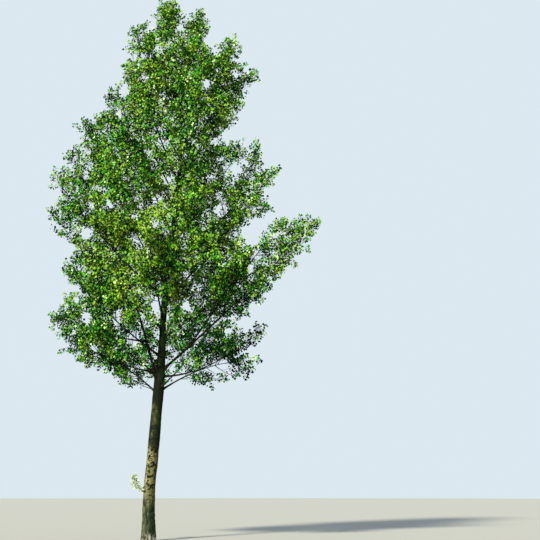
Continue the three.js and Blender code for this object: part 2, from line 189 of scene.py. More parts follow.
def cross_axes(tangents: np.ndarray, aside: np.ndarray) -> tuple[np.ndarray, np.ndarray]:
    """Two directions square to each tangent: across is tangent x aside, and along is across x tangent."""
    across = unit(np.cross(tangents, aside))
    return across, unit(np.cross(across, tangents))


def side_reference(tangents: np.ndarray) -> np.ndarray:
    """A direction well away from each tangent: X for an upright one and Z for the rest."""
    upright = np.abs(tangents[..., 2:3]) > UPRIGHT_FROM
    return np.where(upright, np.array([1.0, 0.0, 0.0]), UP)


# Meshes


@dataclass
class Surface:
    """Vertices in millimetres and triangles that are gathered into one mesh, with values at the vertices."""

    vertices: np.ndarray
    triangles: np.ndarray
    values: dict[str, np.ndarray] = field(default_factory=dict)

    @staticmethod
    def joined(parts: list["Surface"]) -> "Surface":
        """Several surfaces as one, with the values that all of them have.

        Args:
            parts: the surfaces.

        Returns:
            One surface.
        """
        starts = np.cumsum([0] + [len(part.vertices) for part in parts[:-1]])
        names = set.intersection(*(set(part.values) for part in parts))
        return Surface(
            np.concatenate([part.vertices for part in parts]),
            np.concatenate([part.triangles + start for part, start in zip(parts, starts)]),
            {name: np.concatenate([part.values[name] for part in parts]) for name in sorted(names)},
        )

    def mesh_object(self, name: str, material: bpy.types.Material, smooth: bool) -> bpy.types.Object:
        """The surface as an object at the origin, in metres.

        Args:
            name: the piece's name.
            material: its finish.
            smooth: whether its faces are shaded as one curved surface.

        Returns:
            The object, linked to the scene.
        """
        mesh = bpy.data.meshes.new(name)
        count = len(self.triangles)
        mesh.vertices.add(len(self.vertices))
        mesh.vertices.foreach_set("co", (self.vertices * METRES).astype(np.float32).ravel())
        mesh.loops.add(3 * count)
        mesh.loops.foreach_set("vertex_index", self.triangles.astype(np.int32).ravel())
        mesh.polygons.add(count)
        mesh.polygons.foreach_set("loop_start", np.arange(0, 3 * count, 3, dtype=np.int32))
        mesh.polygons.foreach_set("use_smooth", np.full(count, smooth))
        for key, numbers in self.values.items():
            layer = mesh.attributes.new(key, "FLOAT", "POINT")
            layer.data.foreach_set("value", numbers.astype(np.float32).ravel())
        mesh.materials.append(material)
        mesh.update(calc_edges=True)
        mesh.validate()
        piece = bpy.data.objects.new(name, mesh)
        bpy.context.scene.collection.objects.link(piece)
        return piece


def fix_in_frame(piece: bpy.types.Object, slot: Slot, nodes: list[str]) -> None:
    """Lets a piece ride on the tree, hides the nodes that it stands for, and reports it.

    Args:
        piece: the piece.
        slot: not used.
        nodes: the solids that it stands for.
    """
    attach(piece, BODY)
    if nodes:
        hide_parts(*nodes)
    LOG.info("%s: %d faces, stands for %d nodes", piece.name, len(piece.data.polygons), len(nodes))


def tubes(centres: np.ndarray, radii: np.ndarray, sides: int) -> Surface:
    """Round tubes that end in a point.

    Ring j of a tube has its corners at centre + radius (across cos a + along sin a) for equal steps of
    a, the last centre is the point, and a fan closes the root.

    Args:
        centres: (tubes, rings + 1, 3) places along each tube, the point last.
        radii: (tubes, rings) or (tubes, rings, sides).
        sides: corners of a ring.

    Returns:
        All the tubes as one surface.
    """
    count, rings = centres.shape[0], centres.shape[1] - 1
    tangents = unit(np.gradient(centres, axis=1))[:, :rings]
    chord = unit(centres[:, -1] - centres[:, 0])[:, None, :]
    across, along = cross_axes(tangents, side_reference(chord))
    turn = np.arange(sides) * (2.0 * math.pi / sides)
    ring = across[:, :, None, :] * np.cos(turn)[:, None] + along[:, :, None, :] * np.sin(turn)[:, None]
    radii = radii[..., None] if radii.ndim == 2 else radii
    corners = centres[:, :rings, None, :] + ring * radii[..., None]
    vertices = np.concatenate(
        [corners.reshape(count, rings * sides, 3), centres[:, -1:], centres[:, :1]], axis=1
    )
    j, i = np.meshgrid(np.arange(rings - 1), np.arange(sides), indexing="ij")
    here, beside = j * sides + i, j * sides + (i + 1) % sides
    walls = np.stack([here, beside, beside + sides, here, beside + sides, here + sides], axis=-1)
    edge = np.arange(sides)
    last = (rings - 1) * sides
    point = np.stack([last + edge, last + (edge + 1) % sides, np.full(sides, rings * sides)], axis=-1)
    foot = np.stack([(edge + 1) % sides, edge, np.full(sides, rings * sides + 1)], axis=-1)
    pattern = np.concatenate([walls.reshape(-1, 3), point, foot])
    starts = np.arange(count) * (rings * sides + 2)
    triangles = (starts[:, None, None] + pattern).reshape(-1, 3)
    return Surface(vertices.reshape(-1, 3), triangles)


# Finishes

BLACK = 0x000000
WHITE = 0xFFFFFF


def linear(colour: int) -> tuple[float, float, float, float]:
    """An sRGB hex colour as linear numbers with full opacity."""
    parts = [((colour >> shift) & 0xFF) / 255.0 for shift in (16, 8, 0)]
    return (*[c / 12.92 if c <= 0.04045 else ((c + 0.055) / 1.055) ** 2.4 for c in parts], 1.0)


def node(tree: bpy.types.NodeTree, kind: str, settings: dict[str, Any], links: dict[Any, Any]) -> Any:
    """Adds a shader node.

    Args:
        tree: the material's nodes.
        kind: the node's type name, without its ShaderNode beginning.
        settings: the node's own settings by name, its socket values by number or name, or the stops of
            a ramp, each with its place and its sRGB hex colour.
        links: sockets of other nodes to link to its inputs, by name or number.

    Returns:
        The node.
    """
    made = tree.nodes.new("ShaderNode" + kind)
    for key, value in settings.items():
        if key == "stops":
            for element, (place, colour) in zip(made.color_ramp.elements, value):
                element.position = place
                element.color = linear(colour)
        elif isinstance(key, int) or key in made.inputs:
            made.inputs[key].default_value = value
        else:
            setattr(made, key, value)
    for key, socket in links.items():
        tree.links.new(socket, made.inputs[key])
    return made


def blank_material(name: str) -> tuple[bpy.types.Material, bpy.types.NodeTree, Any]:
    """A new material, its nodes and its main shader.

    Args:
        name: the material's name.

    Returns:
        The material, its node tree and its shader.
    """
    material = bpy.data.materials.new(name)
    material.use_nodes = True
    return material, material.node_tree, material.node_tree.nodes["Principled BSDF"]


@dataclass(frozen=True)
class Grain:
    """A bark's fine grain: a noise that raises its bumps and darkens its hollows as painted shade,
    and its dull surface.

    scale is in cells a metre, edge is where its hollows end, the hollow colour is the painted shade in
    them, depth is in metres, and fineness is how much each finer layer of the noise counts.
    """

    scale: float
    detail: float
    edge: tuple[float, float]
    hollow_shade: int
    strength: float
    depth: float
    roughness: float
    specular: float = 0.1
    fineness: float = 0.7

    def finish(self, tree: bpy.types.NodeTree, shader: Any, place: Any, colour: Any) -> None:
        """Lays the grain over a colour and joins both to the main shader.

        Args:
            tree: the material's nodes.
            shader: its main shader.
            place: the coordinates that the noise reads.
            colour: the colour under the grain.
        """
        settings = {"Scale": self.scale, "Detail": self.detail, "Roughness": self.fineness}
        grains = node(tree, "TexNoise", settings, {"Vector": place}).outputs["Fac"]
        # Painted shade in the hollows: the colour is darkened where the bump's noise is low.
        stops = zip(self.edge, (self.hollow_shade, WHITE))
        shade = node(tree, "ValToRGB", {"stops": stops}, {"Fac": grains}).outputs["Color"]
        multiply = {"data_type": "RGBA", "blend_type": "MULTIPLY", 0: 1.0}
        colour = node(tree, "Mix", multiply, {6: colour, 7: shade}).outputs[2]
        bump = node(tree, "Bump", {"Strength": self.strength, "Distance": self.depth}, {"Height": grains})
        tree.links.new(colour, shader.inputs["Base Color"])
        tree.links.new(bump.outputs["Normal"], shader.inputs["Normal"])
        shader.inputs["Roughness"].default_value = self.roughness
        shader.inputs["Specular IOR Level"].default_value = self.specular


@dataclass(frozen=True)
class TrunkBark:
    """Bark of an old aspen stem, which grows slowly and weathers.

    Smooth, dull olive-tan skin with dark sideways corky marks, which turns to grey-black furrowed cork
    near the ground and to dark skin under the crown, darkened further there by painted shade. A dark green
    film lies on the side away from the sun, partly algae and partly painted shade, and painted shade lies
    round the fork, with dark patches of moss below it. It looks dry and matt.
    """

    tan: int = 0x918B63
    olive: int = 0x555838
    cork: int = 0x21271C
    cork_pale: int = 0x585F4B
    furrow: int = 0x0F0F0B
    # Dark green film on the side away from the sun: partly algae and partly painted shade.
    algae: int = 0x112A09
    mark: int = 0x10130B
    foot: int = 0xBDB9AC
    # Darker skin under the crown with painted shade on it, also used for the painted shade at the fork.
    under_crown: int = 0x060E06
    # Patches of skin 90 mm across and 250 mm tall.
    patch_scale: tuple[float, float, float] = (11.0, 11.0, 4.0)
    patch_detail: float = 5.0
    skin_edge: tuple[float, float] = (0.36, 0.6)
    cork_edge: tuple[float, float] = (0.4, 0.62)
    # Sideways corky marks, each 10 mm tall and about 35 mm wide.
    streak_scale: tuple[float, float, float] = (24.0, 24.0, 90.0)
    streak_detail: float = 2.0
    streak_edge: tuple[float, float] = (0.56, 0.68)
    streak_share: float = 0.75
    # Grains of cork 12 mm across.
    grain: Grain = Grain(80.0, 6.0, (0.3, 0.65), 0x8C8C8C, 0.5, 0.006, 0.9)

    def material(self) -> bpy.types.Material:
        """The bark's material: patterns on Object coordinates and the trunk's own values.

        Returns:
            The material.
        """
        material, tree, shader = blank_material("aspen_trunk_bark")
        place = node(tree, "TexCoord", {}, {}).outputs["Object"]
        values = {
            name: node(tree, "Attribute", {"attribute_name": name}, {}).outputs["Fac"]
            for name in ("furrow", "cork", "algae", "mark", "foot", "under_crown", "stain")
        }
        spot = node(tree, "Mapping", {"Scale": self.patch_scale}, {"Vector": place}).outputs[0]
        settings = {"Scale": 1.0, "Detail": self.patch_detail}
        patches = node(tree, "TexNoise", settings, {"Vector": spot}).outputs["Fac"]
        stops = zip(self.skin_edge, (self.olive, self.tan))
        skin = node(tree, "ValToRGB", {"stops": stops}, {"Fac": patches}).outputs["Color"]

        spot = node(tree, "Mapping", {"Scale": self.streak_scale}, {"Vector": place}).outputs[0]
        settings = {"Scale": 1.0, "Detail": self.streak_detail}
        streaks = node(tree, "TexNoise", settings, {"Vector": spot}).outputs["Fac"]
        stops = zip(self.streak_edge, (BLACK, WHITE))
        mask = node(tree, "ValToRGB", {"stops": stops}, {"Fac": streaks}).outputs["Color"]
        share = node(tree, "Math", {"operation": "MULTIPLY", 1: self.streak_share}, {0: mask}).outputs[0]
        colour = self.covered(tree, skin, self.mark, share)

        stops = zip(self.cork_edge, (self.cork, self.cork_pale))
        rough = node(tree, "ValToRGB", {"stops": stops}, {"Fac": patches}).outputs["Color"]
        links = {0: values["cork"], 6: colour, 7: rough}
        colour = node(tree, "Mix", {"data_type": "RGBA"}, links).outputs[2]
        # The crown's painted shade, the film of algae and painted shade, and the fork's painted shade.
        for name, over in (
            ("under_crown", self.under_crown),
            ("algae", self.algae),
            ("stain", self.under_crown),
            ("mark", self.mark),
            ("furrow", self.furrow),
            ("foot", self.foot),
        ):
            colour = self.covered(tree, colour, over, values[name])
        self.grain.finish(tree, shader, place, colour)
        return material

    def covered(self, tree: bpy.types.NodeTree, under: Any, colour: int, share: Any) -> Any:
        """A plain colour laid over another by a share, as a colour socket."""
        return node(tree, "Mix", {"data_type": "RGBA", 7: linear(colour)}, {0: share, 6: under}).outputs[2]


@dataclass(frozen=True)
class LimbBark:
    """Bark of aspen boughs, grown: dark olive skin with paler weathered patches and small cracks."""

    dark: int = 0x0E140B
    pale: int = 0x2B301F
    # Cracks 10 mm apart.
    grain: Grain = Grain(100.0, 5.0, (0.35, 0.6), 0x777777, 0.4, 0.004, 0.88)
    # Patches 70 mm across.
    patch_scale: float = 14.0
    patch_detail: float = 5.0
    skin_edge: tuple[float, float] = (0.38, 0.64)

    def material(self) -> bpy.types.Material:
        """The bark's material, all on Object coordinates.

        Returns:
            The material.
        """
        material, tree, shader = blank_material("aspen_limb_bark")
        place = node(tree, "TexCoord", {}, {}).outputs["Object"]
        settings = {"Scale": self.patch_scale, "Detail": self.patch_detail}
        patches = node(tree, "TexNoise", settings, {"Vector": place}).outputs["Fac"]
        stops = zip(self.skin_edge, (self.dark, self.pale))
        skin = node(tree, "ValToRGB", {"stops": stops}, {"Fac": patches}).outputs["Color"]
        self.grain.finish(tree, shader, place, skin)
        return material


@dataclass(frozen=True)
class PlainFinish:
    """A finish of one colour, for small things whose colours are dealt out piece by piece."""

    name: str
    colour: int
    roughness: float
    specular: float = 0.5

    def material(self) -> bpy.types.Material:
        """The finish's material.

        Returns:
            The material.
        """
        material, _, shader = blank_material(self.name)
        shader.inputs["Base Color"].default_value = linear(self.colour)
        shader.inputs["Roughness"].default_value = self.roughness
        shader.inputs["Specular IOR Level"].default_value = self.specular
        return material


# Young twigs have a thin, slightly waxy dark olive skin that looks satin.
TWIG_SKIN = PlainFinish("young_twig_skin", 0x22291A, 0.6, 0.25)


class Leaf(Enum):
    """Tints of aspen leaves, thin waxy blades that look satin above and are pale and matt beneath.

    Young leaves are yellower and old ones a deeper green, but the tints are also painted light and shade:
    the deepest green is put on leaves in shade and the yellowish olive on sunlit ones.
    """

    # Painted shade: the deepest green, for leaves in shade.
    SHADED = PlainFinish("leaf_shaded_green", 0x032404, 0.6, 0.06)
    SUMMER = PlainFinish("leaf_summer_green", 0x29730D, 0.55, 0.08)
    FRESH = PlainFinish("leaf_fresh_green", 0x588B1E, 0.55, 0.08)
    # Partly the leaves' own yellower tint and partly painted light, for sunlit leaves.
    OLIVE = PlainFinish("leaf_sunlit_olive", 0x6D8D21, 0.55, 0.08)
    UNDERSIDE = PlainFinish("leaf_pale_underside", 0x9ABC7A, 0.6, 0.1)


# The shoot on the trunk has thin leaves with broad cream margins, which look pale and a little glossy.
SHOOT_LEAF = PlainFinish("leaf_cream_variegated", 0x8C9C78, 0.55, 0.3)


# Trunk


@dataclass(frozen=True)
class BarkPatterns:
    """The noises that shape and tint the trunk's bark."""

    warp: Pattern = Pattern((90, 90, 160), 11)
    edge: Pattern = Pattern((160, 160, 300), 12)
    furrows: Pattern = Pattern((46, 46, 190), 13)
    fine_furrows: Pattern = Pattern((26, 26, 90), 14)
    cracks: Pattern = Pattern((120, 120, 620), 15)
    lumps: Pattern = Pattern((150, 150, 330), 16)
    cork_grain: Pattern = Pattern((30, 30, 60), 17)
    algae: Pattern = Pattern((60, 60, 220), 18)
    foot: Pattern = Pattern((60, 60, 60), 19)
    marks: Pattern = Pattern((62, 62, 40), 21)
    streaks: Pattern = Pattern((60, 60, 420), 22)
    stains: Pattern = Pattern((120, 120, 190), 511)
    stain_edge: Pattern = Pattern((35, 35, 60), 24)


@dataclass
class BarkSpots:
    """Places on the bark: angle, height, place in space, and how far a ragged edge strays in height."""

    angle: np.ndarray
    height: np.ndarray
    place: np.ndarray
    edge: np.ndarray


@dataclass(frozen=True)
class Weathering:
    """How painted shade, algae, moss and the pale foot tint the trunk.

    A pair of heights is where something sets in or ends, four heights are a band, an edge is the two
    values of a noise that a patch begins between, and a strength is the most that a value reaches.
    """

    # Painted shade under the crown, half and then deep.
    half_shade: tuple[float, float] = (2450.0, 3300.0)
    half_strength: float = 0.58
    half_streaks: float = 0.7
    deep_shade: tuple[float, float] = (3500.0, 4250.0)
    deep_strength: float = 0.985
    deep_ragged: float = 0.7
    deep_streaks: float = 0.12
    streak_edge: tuple[float, float] = (0.56, 0.66)
    # The film of algae and painted shade: thickest on the side away from the sun, thinner in a band low down.
    shaded_side: float = math.radians(2.0)
    side_middle: float = 0.58
    side_swing: float = 0.8
    film_edge: tuple[float, float] = (0.35, 0.7)
    film_noise: float = 0.6
    film_side: float = 0.6
    film_strength: float = 0.98
    cork_cleans: float = 0.25
    thin_film_band: tuple[float, float, float, float] = (900.0, 1400.0, 2500.0, 3200.0)
    film_thinning: float = 0.5
    # Painted shade round the fork, lower on the shaded side, and dark patches of moss below it.
    fork_shade: tuple[float, float, float, float] = (3600.0, 4300.0, 4700.0, 5000.0)
    fork_ragged: float = 0.4
    fork_slant: float = 250.0
    patches: tuple[float, float, float, float] = (2450.0, 2800.0, 4000.0, 4400.0)
    patch_edge: tuple[float, float] = (0.54, 0.66)
    patch_ragged: float = 0.2
    shade_and_moss_strength: float = 0.8
    foot_side: float = math.radians(-75.0)
    foot_ends: tuple[float, float] = (60.0, 260.0)
    foot_edge: tuple[float, float] = (0.5, 0.7)
    foot_front: float = 0.25
    foot_strength: float = 0.8
    foot_furrows: float = 0.7

    def shade(self, spots: BarkSpots, streak_noise: np.ndarray) -> np.ndarray:
        """Painted shade of the crown, half and then deep, with paler streaks where water runs down.

        Args:
            spots: places on the bark.
            streak_noise: the streaks' noise there.

        Returns:
            Values from 0 to 1.
        """
        streaks = ease(*self.streak_edge, streak_noise)
        half = self.half_strength * ease(*self.half_shade, spots.height + spots.edge)
        half = half * (1.0 - self.half_streaks * streaks)
        deep = ease(*self.deep_shade, spots.height + self.deep_ragged * spots.edge)
        deep = deep * (1.0 - self.deep_streaks * streaks)
        return np.maximum(half, self.deep_strength * deep)

    def algae(self, spots: BarkSpots, cork: np.ndarray, pattern: Pattern) -> np.ndarray:
        """The dark green film, partly algae and partly painted shade, thickest on the side away from the sun,
        thinner on cork and in a band low on the stem.

        Args:
            spots: places on the bark.
            cork: how corky the bark is there.
            pattern: the film's noise.

        Returns:
            Values from 0 to 1.
        """
        side = np.clip(self.side_middle + self.side_swing * np.cos(spots.angle - self.shaded_side), 0.0, 1.0)
        film = ease(*self.film_edge, self.film_noise * pattern.at(spots.place) + self.film_side * side)
        thin_film_band = band(self.thin_film_band, spots.height + spots.edge)
        return self.film_strength * film * (1.0 - self.cork_cleans * cork) * (1.0 - self.film_thinning * thin_film_band)

    def stain(self, spots: BarkSpots, pattern: Pattern, edge_pattern: Pattern) -> np.ndarray:
        """Painted shade round the fork, lower down on the shaded side, and dark patches of moss below it.

        Args:
            spots: places on the bark.
            pattern: the patches' noise.
            edge_pattern: the noise that frays their edges.

        Returns:
            Values from 0 to 1.
        """
        slanted = spots.height + self.fork_ragged * spots.edge + self.fork_slant * np.cos(spots.angle)
        fork = ease(*self.fork_shade[:2], slanted) * (1.0 - ease(*self.fork_shade[2:], spots.height))
        ragged = self.patch_ragged * (edge_pattern.at(spots.place) - 0.5)
        patches = ease(*self.patch_edge, pattern.at(spots.place) + ragged) * band(self.patches, spots.height)
        return self.shade_and_moss_strength * np.maximum(fork, patches)

    def foot(self, spots: BarkSpots, furrow: np.ndarray, pattern: Pattern) -> np.ndarray:
        """The pale scuffed bark at the foot's front, outside the furrows.

        Args:
            spots: places on the bark.
            furrow: how deep in a furrow each is.
            pattern: the scuffs' noise.

        Returns:
            Values from 0 to 1.
        """
        front = np.clip(np.cos(spots.angle - self.foot_side), 0.0, 1.0)
        foot = ease(*self.foot_edge, pattern.at(spots.place) + self.foot_front * front)
        foot = foot * (1.0 - ease(*self.foot_ends, spots.height))
        return self.foot_strength * foot * front * (1.0 - self.foot_furrows * furrow)


@dataclass(frozen=True)
class Trunk:
    """The trunk: a leaning line of smooth curves with a tapering round section and a lobed root flare."""

    line: tuple[tuple[float, float, float], ...] = (
        (0, 0, 0), (-15, 10, 1500), (55, 25, 2400), (140, 30, 3700), (270, 0, 5800), (330, -60, 7400),
        (600, -40, 10300), (740, 60, 12500), (640, 90, 14600), (400, 20, 16300),
    )
    taper_height: float = 17400.0
    base_radius: float = 182.0
    taper_power: float = 1.9
    fork_loss: float = 0.32
    fork_zone: tuple[float, float] = (4650.0, 6500.0)
    flare: float = 52.0
    flare_height: float = 600.0
    lobes: int = 5
    lobe_depth: float = 0.13
    lobe_turn: float = 0.7
    lobe_fade: float = 0.6
    columns: int = 104
    rows: int = 560
    row_crowding: float = 1.5
    patterns: BarkPatterns = BarkPatterns()
    warp: float = 90.0
    ragged_edge: float = 500.0
    furrow_depth: float = 15.0
    furrow_sharpness: float = 3.2
    fine_furrow_sharpness: float = 4.0
    fine_furrow_share: float = 0.6
    crack_sharpness: float = 9.0
    crack_darkness: float = 0.7
    lump_height: float = 15.0
    grain_depth: float = 9.0
    crack_depth: float = 3.5
    mark_depth: float = 4.0
    rim_height: float = 4.0
    scar_depth: float = 5.0
    scars: int = 64
    scar_widths: tuple[float, float] = (30.0, 90.0)
    scar_heights: tuple[float, float] = (10.0, 28.0)
    scar_slant: float = 0.25
    scar_seed: int = 71
    scar_edge: tuple[float, float] = (0.55, 1.0)
    rim_place: float = 1.25
    rim_width: float = 0.35
    scar_zone: tuple[float, float] = (1150.0, 5200.0)
    relief_begins: tuple[float, float] = (-1.0, 25.0)
    cork_ends: tuple[float, float] = (800.0, 1850.0)
    mark_zone: tuple[float, float, float, float] = (900.0, 1500.0, 2900.0, 4000.0)
    mark_edge: tuple[float, float] = (0.57, 0.62)
    weather: Weathering = Weathering()
    line_steps: int = 60

    @property
    def top(self) -> float:
        """Height of the trunk's top."""
        return self.line[-1][2]

    def dense_line(self) -> np.ndarray:
        """Points close together on the trunk's line.

        Between two points the line is the cubic of the centripetal Catmull-Rom rule: its slopes come
        from the neighbouring points, each gap weighted by the square root of its length.

        Returns:
            The points, from the ground up.
        """
        p = np.asarray(self.line, dtype=float)
        p = np.vstack([2 * p[0] - p[1], p, 2 * p[-1] - p[-2]])
        gaps = np.sqrt(np.linalg.norm(np.diff(p, axis=0), axis=1))[:, None]
        a, b, c, d = p[:-3], p[1:-2], p[2:-1], p[3:]
        g0, g1, g2 = gaps[:-2], gaps[1:-1], gaps[2:]
        slope_b = ((b - a) / g0 - (c - a) / (g0 + g1) + (c - b) / g1) * g1
        slope_c = ((c - b) / g1 - (d - b) / (g1 + g2) + (d - c) / g2) * g1
        t = np.linspace(0.0, 1.0, self.line_steps)[None, :, None]
        b, c, slope_b, slope_c = b[:, None], c[:, None], slope_b[:, None], slope_c[:, None]
        cubic = (2 * b - 2 * c + slope_b + slope_c) * t**3
        points = cubic + (3 * c - 3 * b - 2 * slope_b - slope_c) * t**2 + slope_b * t + b
        return points.reshape(-1, 3)

    def centre(self, height: np.ndarray | float) -> np.ndarray:
        """The trunk's centre at each height."""
        line = self.dense_line()
        return np.stack([np.interp(height, line[:, 2], line[:, i]) for i in range(3)], axis=-1)

    def radius(self, height: np.ndarray, angle: np.ndarray) -> np.ndarray:
        """The radius at a height and angle.

        It is base (1 - (h / H)^power), less a share that the lowest limbs take, plus a flare that dies
        away upwards, and the flare's lobes follow the cosine of five times the angle, also dying away.

        Args:
            height: heights above the ground.
            angle: angles round the trunk.

        Returns:
            The radius at each.
        """
        fade = np.exp(-height / (self.flare_height * self.lobe_fade))
        lobes = self.lobe_depth * np.cos(self.lobes * angle + self.lobe_turn) * fade
        left = 1.0 - self.fork_loss * ease(*self.fork_zone, np.asarray(height))
        taper = self.base_radius * (1.0 - (height / self.taper_height) ** self.taper_power) * left
        return (taper + self.flare * np.exp(-height / self.flare_height)) * (1.0 + lobes)

    def bark(self, angle: np.ndarray, height: np.ndarray) -> tuple[np.ndarray, dict[str, np.ndarray]]:
        """The bark's relief and its colour values.

        Furrows lie where a drawn-out noise, bent by a coarser one, is near one half. They are deep near
        the ground and fade into smooth bark, which has slow lumps, corky marks and a few eye-shaped
        branch scars.

        Args:
            angle: angles on the grid.
            height: heights on the grid.

        Returns:
            Relief in millimetres, outwards, and values from 0 to 1 by name.
        """
        patterns = self.patterns
        girth = self.radius(height, angle)
        place = np.stack([girth * np.cos(angle), girth * np.sin(angle), height], axis=-1)
        warp = (patterns.warp.at(place) - 0.5)[..., None] * self.warp
        warped = place + warp * np.array([1.0, 1.0, 0.0])
        edge = self.ragged_edge * (patterns.edge.at(place) - 0.5)
        cork = 1.0 - ease(*self.cork_ends, height + edge)
        lines = ridge(patterns.furrows.at(warped), self.furrow_sharpness)
        fine = ridge(patterns.fine_furrows.at(warped), self.fine_furrow_sharpness)
        furrow = np.clip(np.maximum(lines, self.fine_furrow_share * fine), 0.0, 1.0)
        cracks = np.clip(ridge(patterns.cracks.at(warped), self.crack_sharpness), 0.0, 1.0)
        scar, rim = self.scar_values(angle, height, girth)
        marks = ease(*self.mark_edge, patterns.marks.at(warped)) * band(self.mark_zone, height)

        lumps = self.lump_height * (patterns.lumps.at(place) - 0.5)
        grain = self.grain_depth * cork * (patterns.cork_grain.at(place) - 0.5)
        size = girth / self.base_radius
        relief = size * (lumps + grain)
        relief += size * (self.rim_height * rim - self.scar_depth * scar - self.furrow_depth * cork * furrow)
        relief -= size * (self.crack_depth * (1.0 - cork) * cracks + self.mark_depth * marks)

        spots = BarkSpots(angle, height, place, edge)
        # The crown's and the fork's shade are painted shade, and the algae film is partly painted shade.
        values = {
            "furrow": np.clip(cork * furrow**2 + self.crack_darkness * (1.0 - cork) * cracks, 0.0, 1.0),
            "cork": cork,
            "algae": self.weather.algae(spots, cork, patterns.algae),
            "mark": np.maximum(scar, marks),
            "under_crown": self.weather.shade(spots, patterns.streaks.at(warped)),
            "stain": self.weather.stain(spots, patterns.stains, patterns.stain_edge),
            "foot": self.weather.foot(spots, furrow, patterns.foot),
        }
        return relief, values

    def scar_values(
        self, angle: np.ndarray, height: np.ndarray, girth: np.ndarray
    ) -> tuple[np.ndarray, np.ndarray]:
        """Branch scars: each is a flat ellipse by its offset along the girth and in height.

        Args:
            angle: angles on the grid.
            height: heights on the grid.
            girth: radius there.

        Returns:
            How far each spot is in a scar and on a scar's raised rim, from 0 to 1.
        """
        chance = np.random.default_rng(self.scar_seed)
        scar = np.zeros_like(height)
        rim = np.zeros_like(height)
        for _ in range(self.scars):
            at_angle = chance.uniform(-math.pi, math.pi)
            at_height = chance.uniform(*self.scar_zone)
            wide, tall = chance.uniform(*self.scar_widths), chance.uniform(*self.scar_heights)
            sideways = girth * ((angle - at_angle + math.pi) % (2 * math.pi) - math.pi)
            slant = sideways * chance.uniform(-self.scar_slant, self.scar_slant)
            out = np.sqrt((sideways / wide) ** 2 + ((height - at_height - slant) / tall) ** 2)
            scar = np.maximum(scar, 1.0 - ease(*self.scar_edge, out))
            rim = np.maximum(rim, np.exp(-(((out - self.rim_place) / self.rim_width) ** 2)))
        return scar, rim

    def surface(self) -> Surface:
        """The trunk as level rings with bark relief, closed by a fan at the foot and the top.

        Returns:
            The closed surface, with the bark's colour values.
        """
        share = np.linspace(0.0, 1.0, self.rows) ** self.row_crowding
        heights = share * self.top
        angles = np.arange(self.columns) * (2.0 * math.pi / self.columns)
        height, angle = np.meshgrid(heights, angles, indexing="ij")
        relief, values = self.bark(angle, height)
        relief *= ease(*self.relief_begins, height)
        girth = self.radius(height, angle) + relief
        centre = self.centre(heights)[:, None, :]
        ring = np.stack([np.cos(angle), np.sin(angle), np.zeros_like(angle)], axis=-1)
        corners = (centre + girth[..., None] * ring).reshape(-1, 3)
        ends = np.stack([centre[0, 0], centre[-1, 0]])
        j, i = np.meshgrid(np.arange(self.rows - 1), np.arange(self.columns), indexing="ij")
        here, beside = j * self.columns + i, j * self.columns + (i + 1) % self.columns
        walls = np.stack(
            [here, beside, beside + self.columns, here, beside + self.columns, here + self.columns], axis=-1
        )
        edge = np.arange(self.columns)
        after = (edge + 1) % self.columns
        last = (self.rows - 1) * self.columns
        count = self.rows * self.columns
        foot = np.stack([after, edge, np.full(self.columns, count)], axis=-1)
        top = np.stack([last + edge, last + after, np.full(self.columns, count + 1)], axis=-1)
        triangles = np.concatenate([walls.reshape(-1, 3), foot, top])
        flat = {key: np.append(value.ravel(), [0.0, 0.0]) for key, value in values.items()}
        return Surface(np.concatenate([corners, ends]), triangles, flat)

    def build(self) -> None:
        """Makes the trunk's piece."""
        piece = self.surface().mesh_object("trunk_with_bark", TrunkBark().material(), smooth=True)
        fix_in_frame(piece, Slot.TRUNK, ["trunk"])


# Limbs


@dataclass(frozen=True)
class LimbPlan:
    """Where a limb springs and how far its foliage reaches.

    springs is a height on the trunk, or the share of the parent's length; bow bends the limb sideways;
    bare is the share of it that is a bough, and breadth its foliage's widest radius.
    """

    name: str
    springs: float
    azimuth: float
    reach: float
    top: float
    sag: float
    bare: float
    breadth: float
    bow: float = 0.0
    parent: str = ""


OUTLINE_PLANS = (
    LimbPlan("low_right", 4500, -4, 3450, 5500, -0.09, 0.26, 500),
    LimbPlan("right_tuft", 5000, 10, 3650, 6700, 0.11, 0.3, 640),
    LimbPlan("long_right", 5120, -5, 5330, 10020, 0.015, 0.34, 760),
    LimbPlan("right_plume", 0.18, -9, 4330, 10080, -0.02, 0.22, 820, parent="long_right"),
    LimbPlan("right_shoulder", 6050, -16, 3780, 10620, -0.1, 0.3, 640, bow=250),
    LimbPlan("right_horn", 7300, -3, 4000, 11850, 0.02, 0.3, 700),
    LimbPlan("right_prong", 8500, 9, 3420, 12650, 0.1, 0.36, 560, bow=-400),
    LimbPlan("right_nub", 9200, -9, 2980, 12720, 0.04, 0, 470),
    LimbPlan("right_upper", 9900, -14, 2600, 14250, -0.02, 0.22, 760),
    LimbPlan("right_high", 11200, 8, 3200, 15350, -0.05, 0.2, 700),
    LimbPlan("right_crest", 12500, -6, 2600, 16250, 0.0, 0, 800),
    LimbPlan("right_tip", 14200, 12, 1400, 17550, 0.05, 0, 520),
    LimbPlan("left_upright", 4520, 176, 3000, 12500, -0.02, 0.42, 960, bow=-560),
    LimbPlan("low_left", 4430, 184, 2400, 5950, -0.08, 0.28, 560),
    LimbPlan("left_skirt", 0.075, 172, 2850, 6000, 0.02, 0.3, 740, parent="left_upright"),
    LimbPlan("left_spur", 0.2, 187, 3370, 6950, 0.05, 0.28, 820, parent="left_upright"),
    LimbPlan("left_elbow", 0.34, 174, 3100, 8400, 0.05, 0.24, 770, parent="left_upright"),
    LimbPlan("left_flank", 6500, 190, 3470, 10300, 0.05, 0.32, 910),
    LimbPlan("left_horn", 7500, 183, 3580, 11750, 0.05, 0.34, 840),
    LimbPlan("left_shoulder", 8900, 190, 2640, 13420, 0.02, 0.25, 860),
    LimbPlan("left_upper", 10500, 176, 1820, 14450, 0.03, 0, 670),
    LimbPlan("left_high", 12200, 196, 1220, 15450, 0.02, 0, 670),
    LimbPlan("left_tip", 13700, 180, 1020, 16800, 0.03, 0, 530),
)


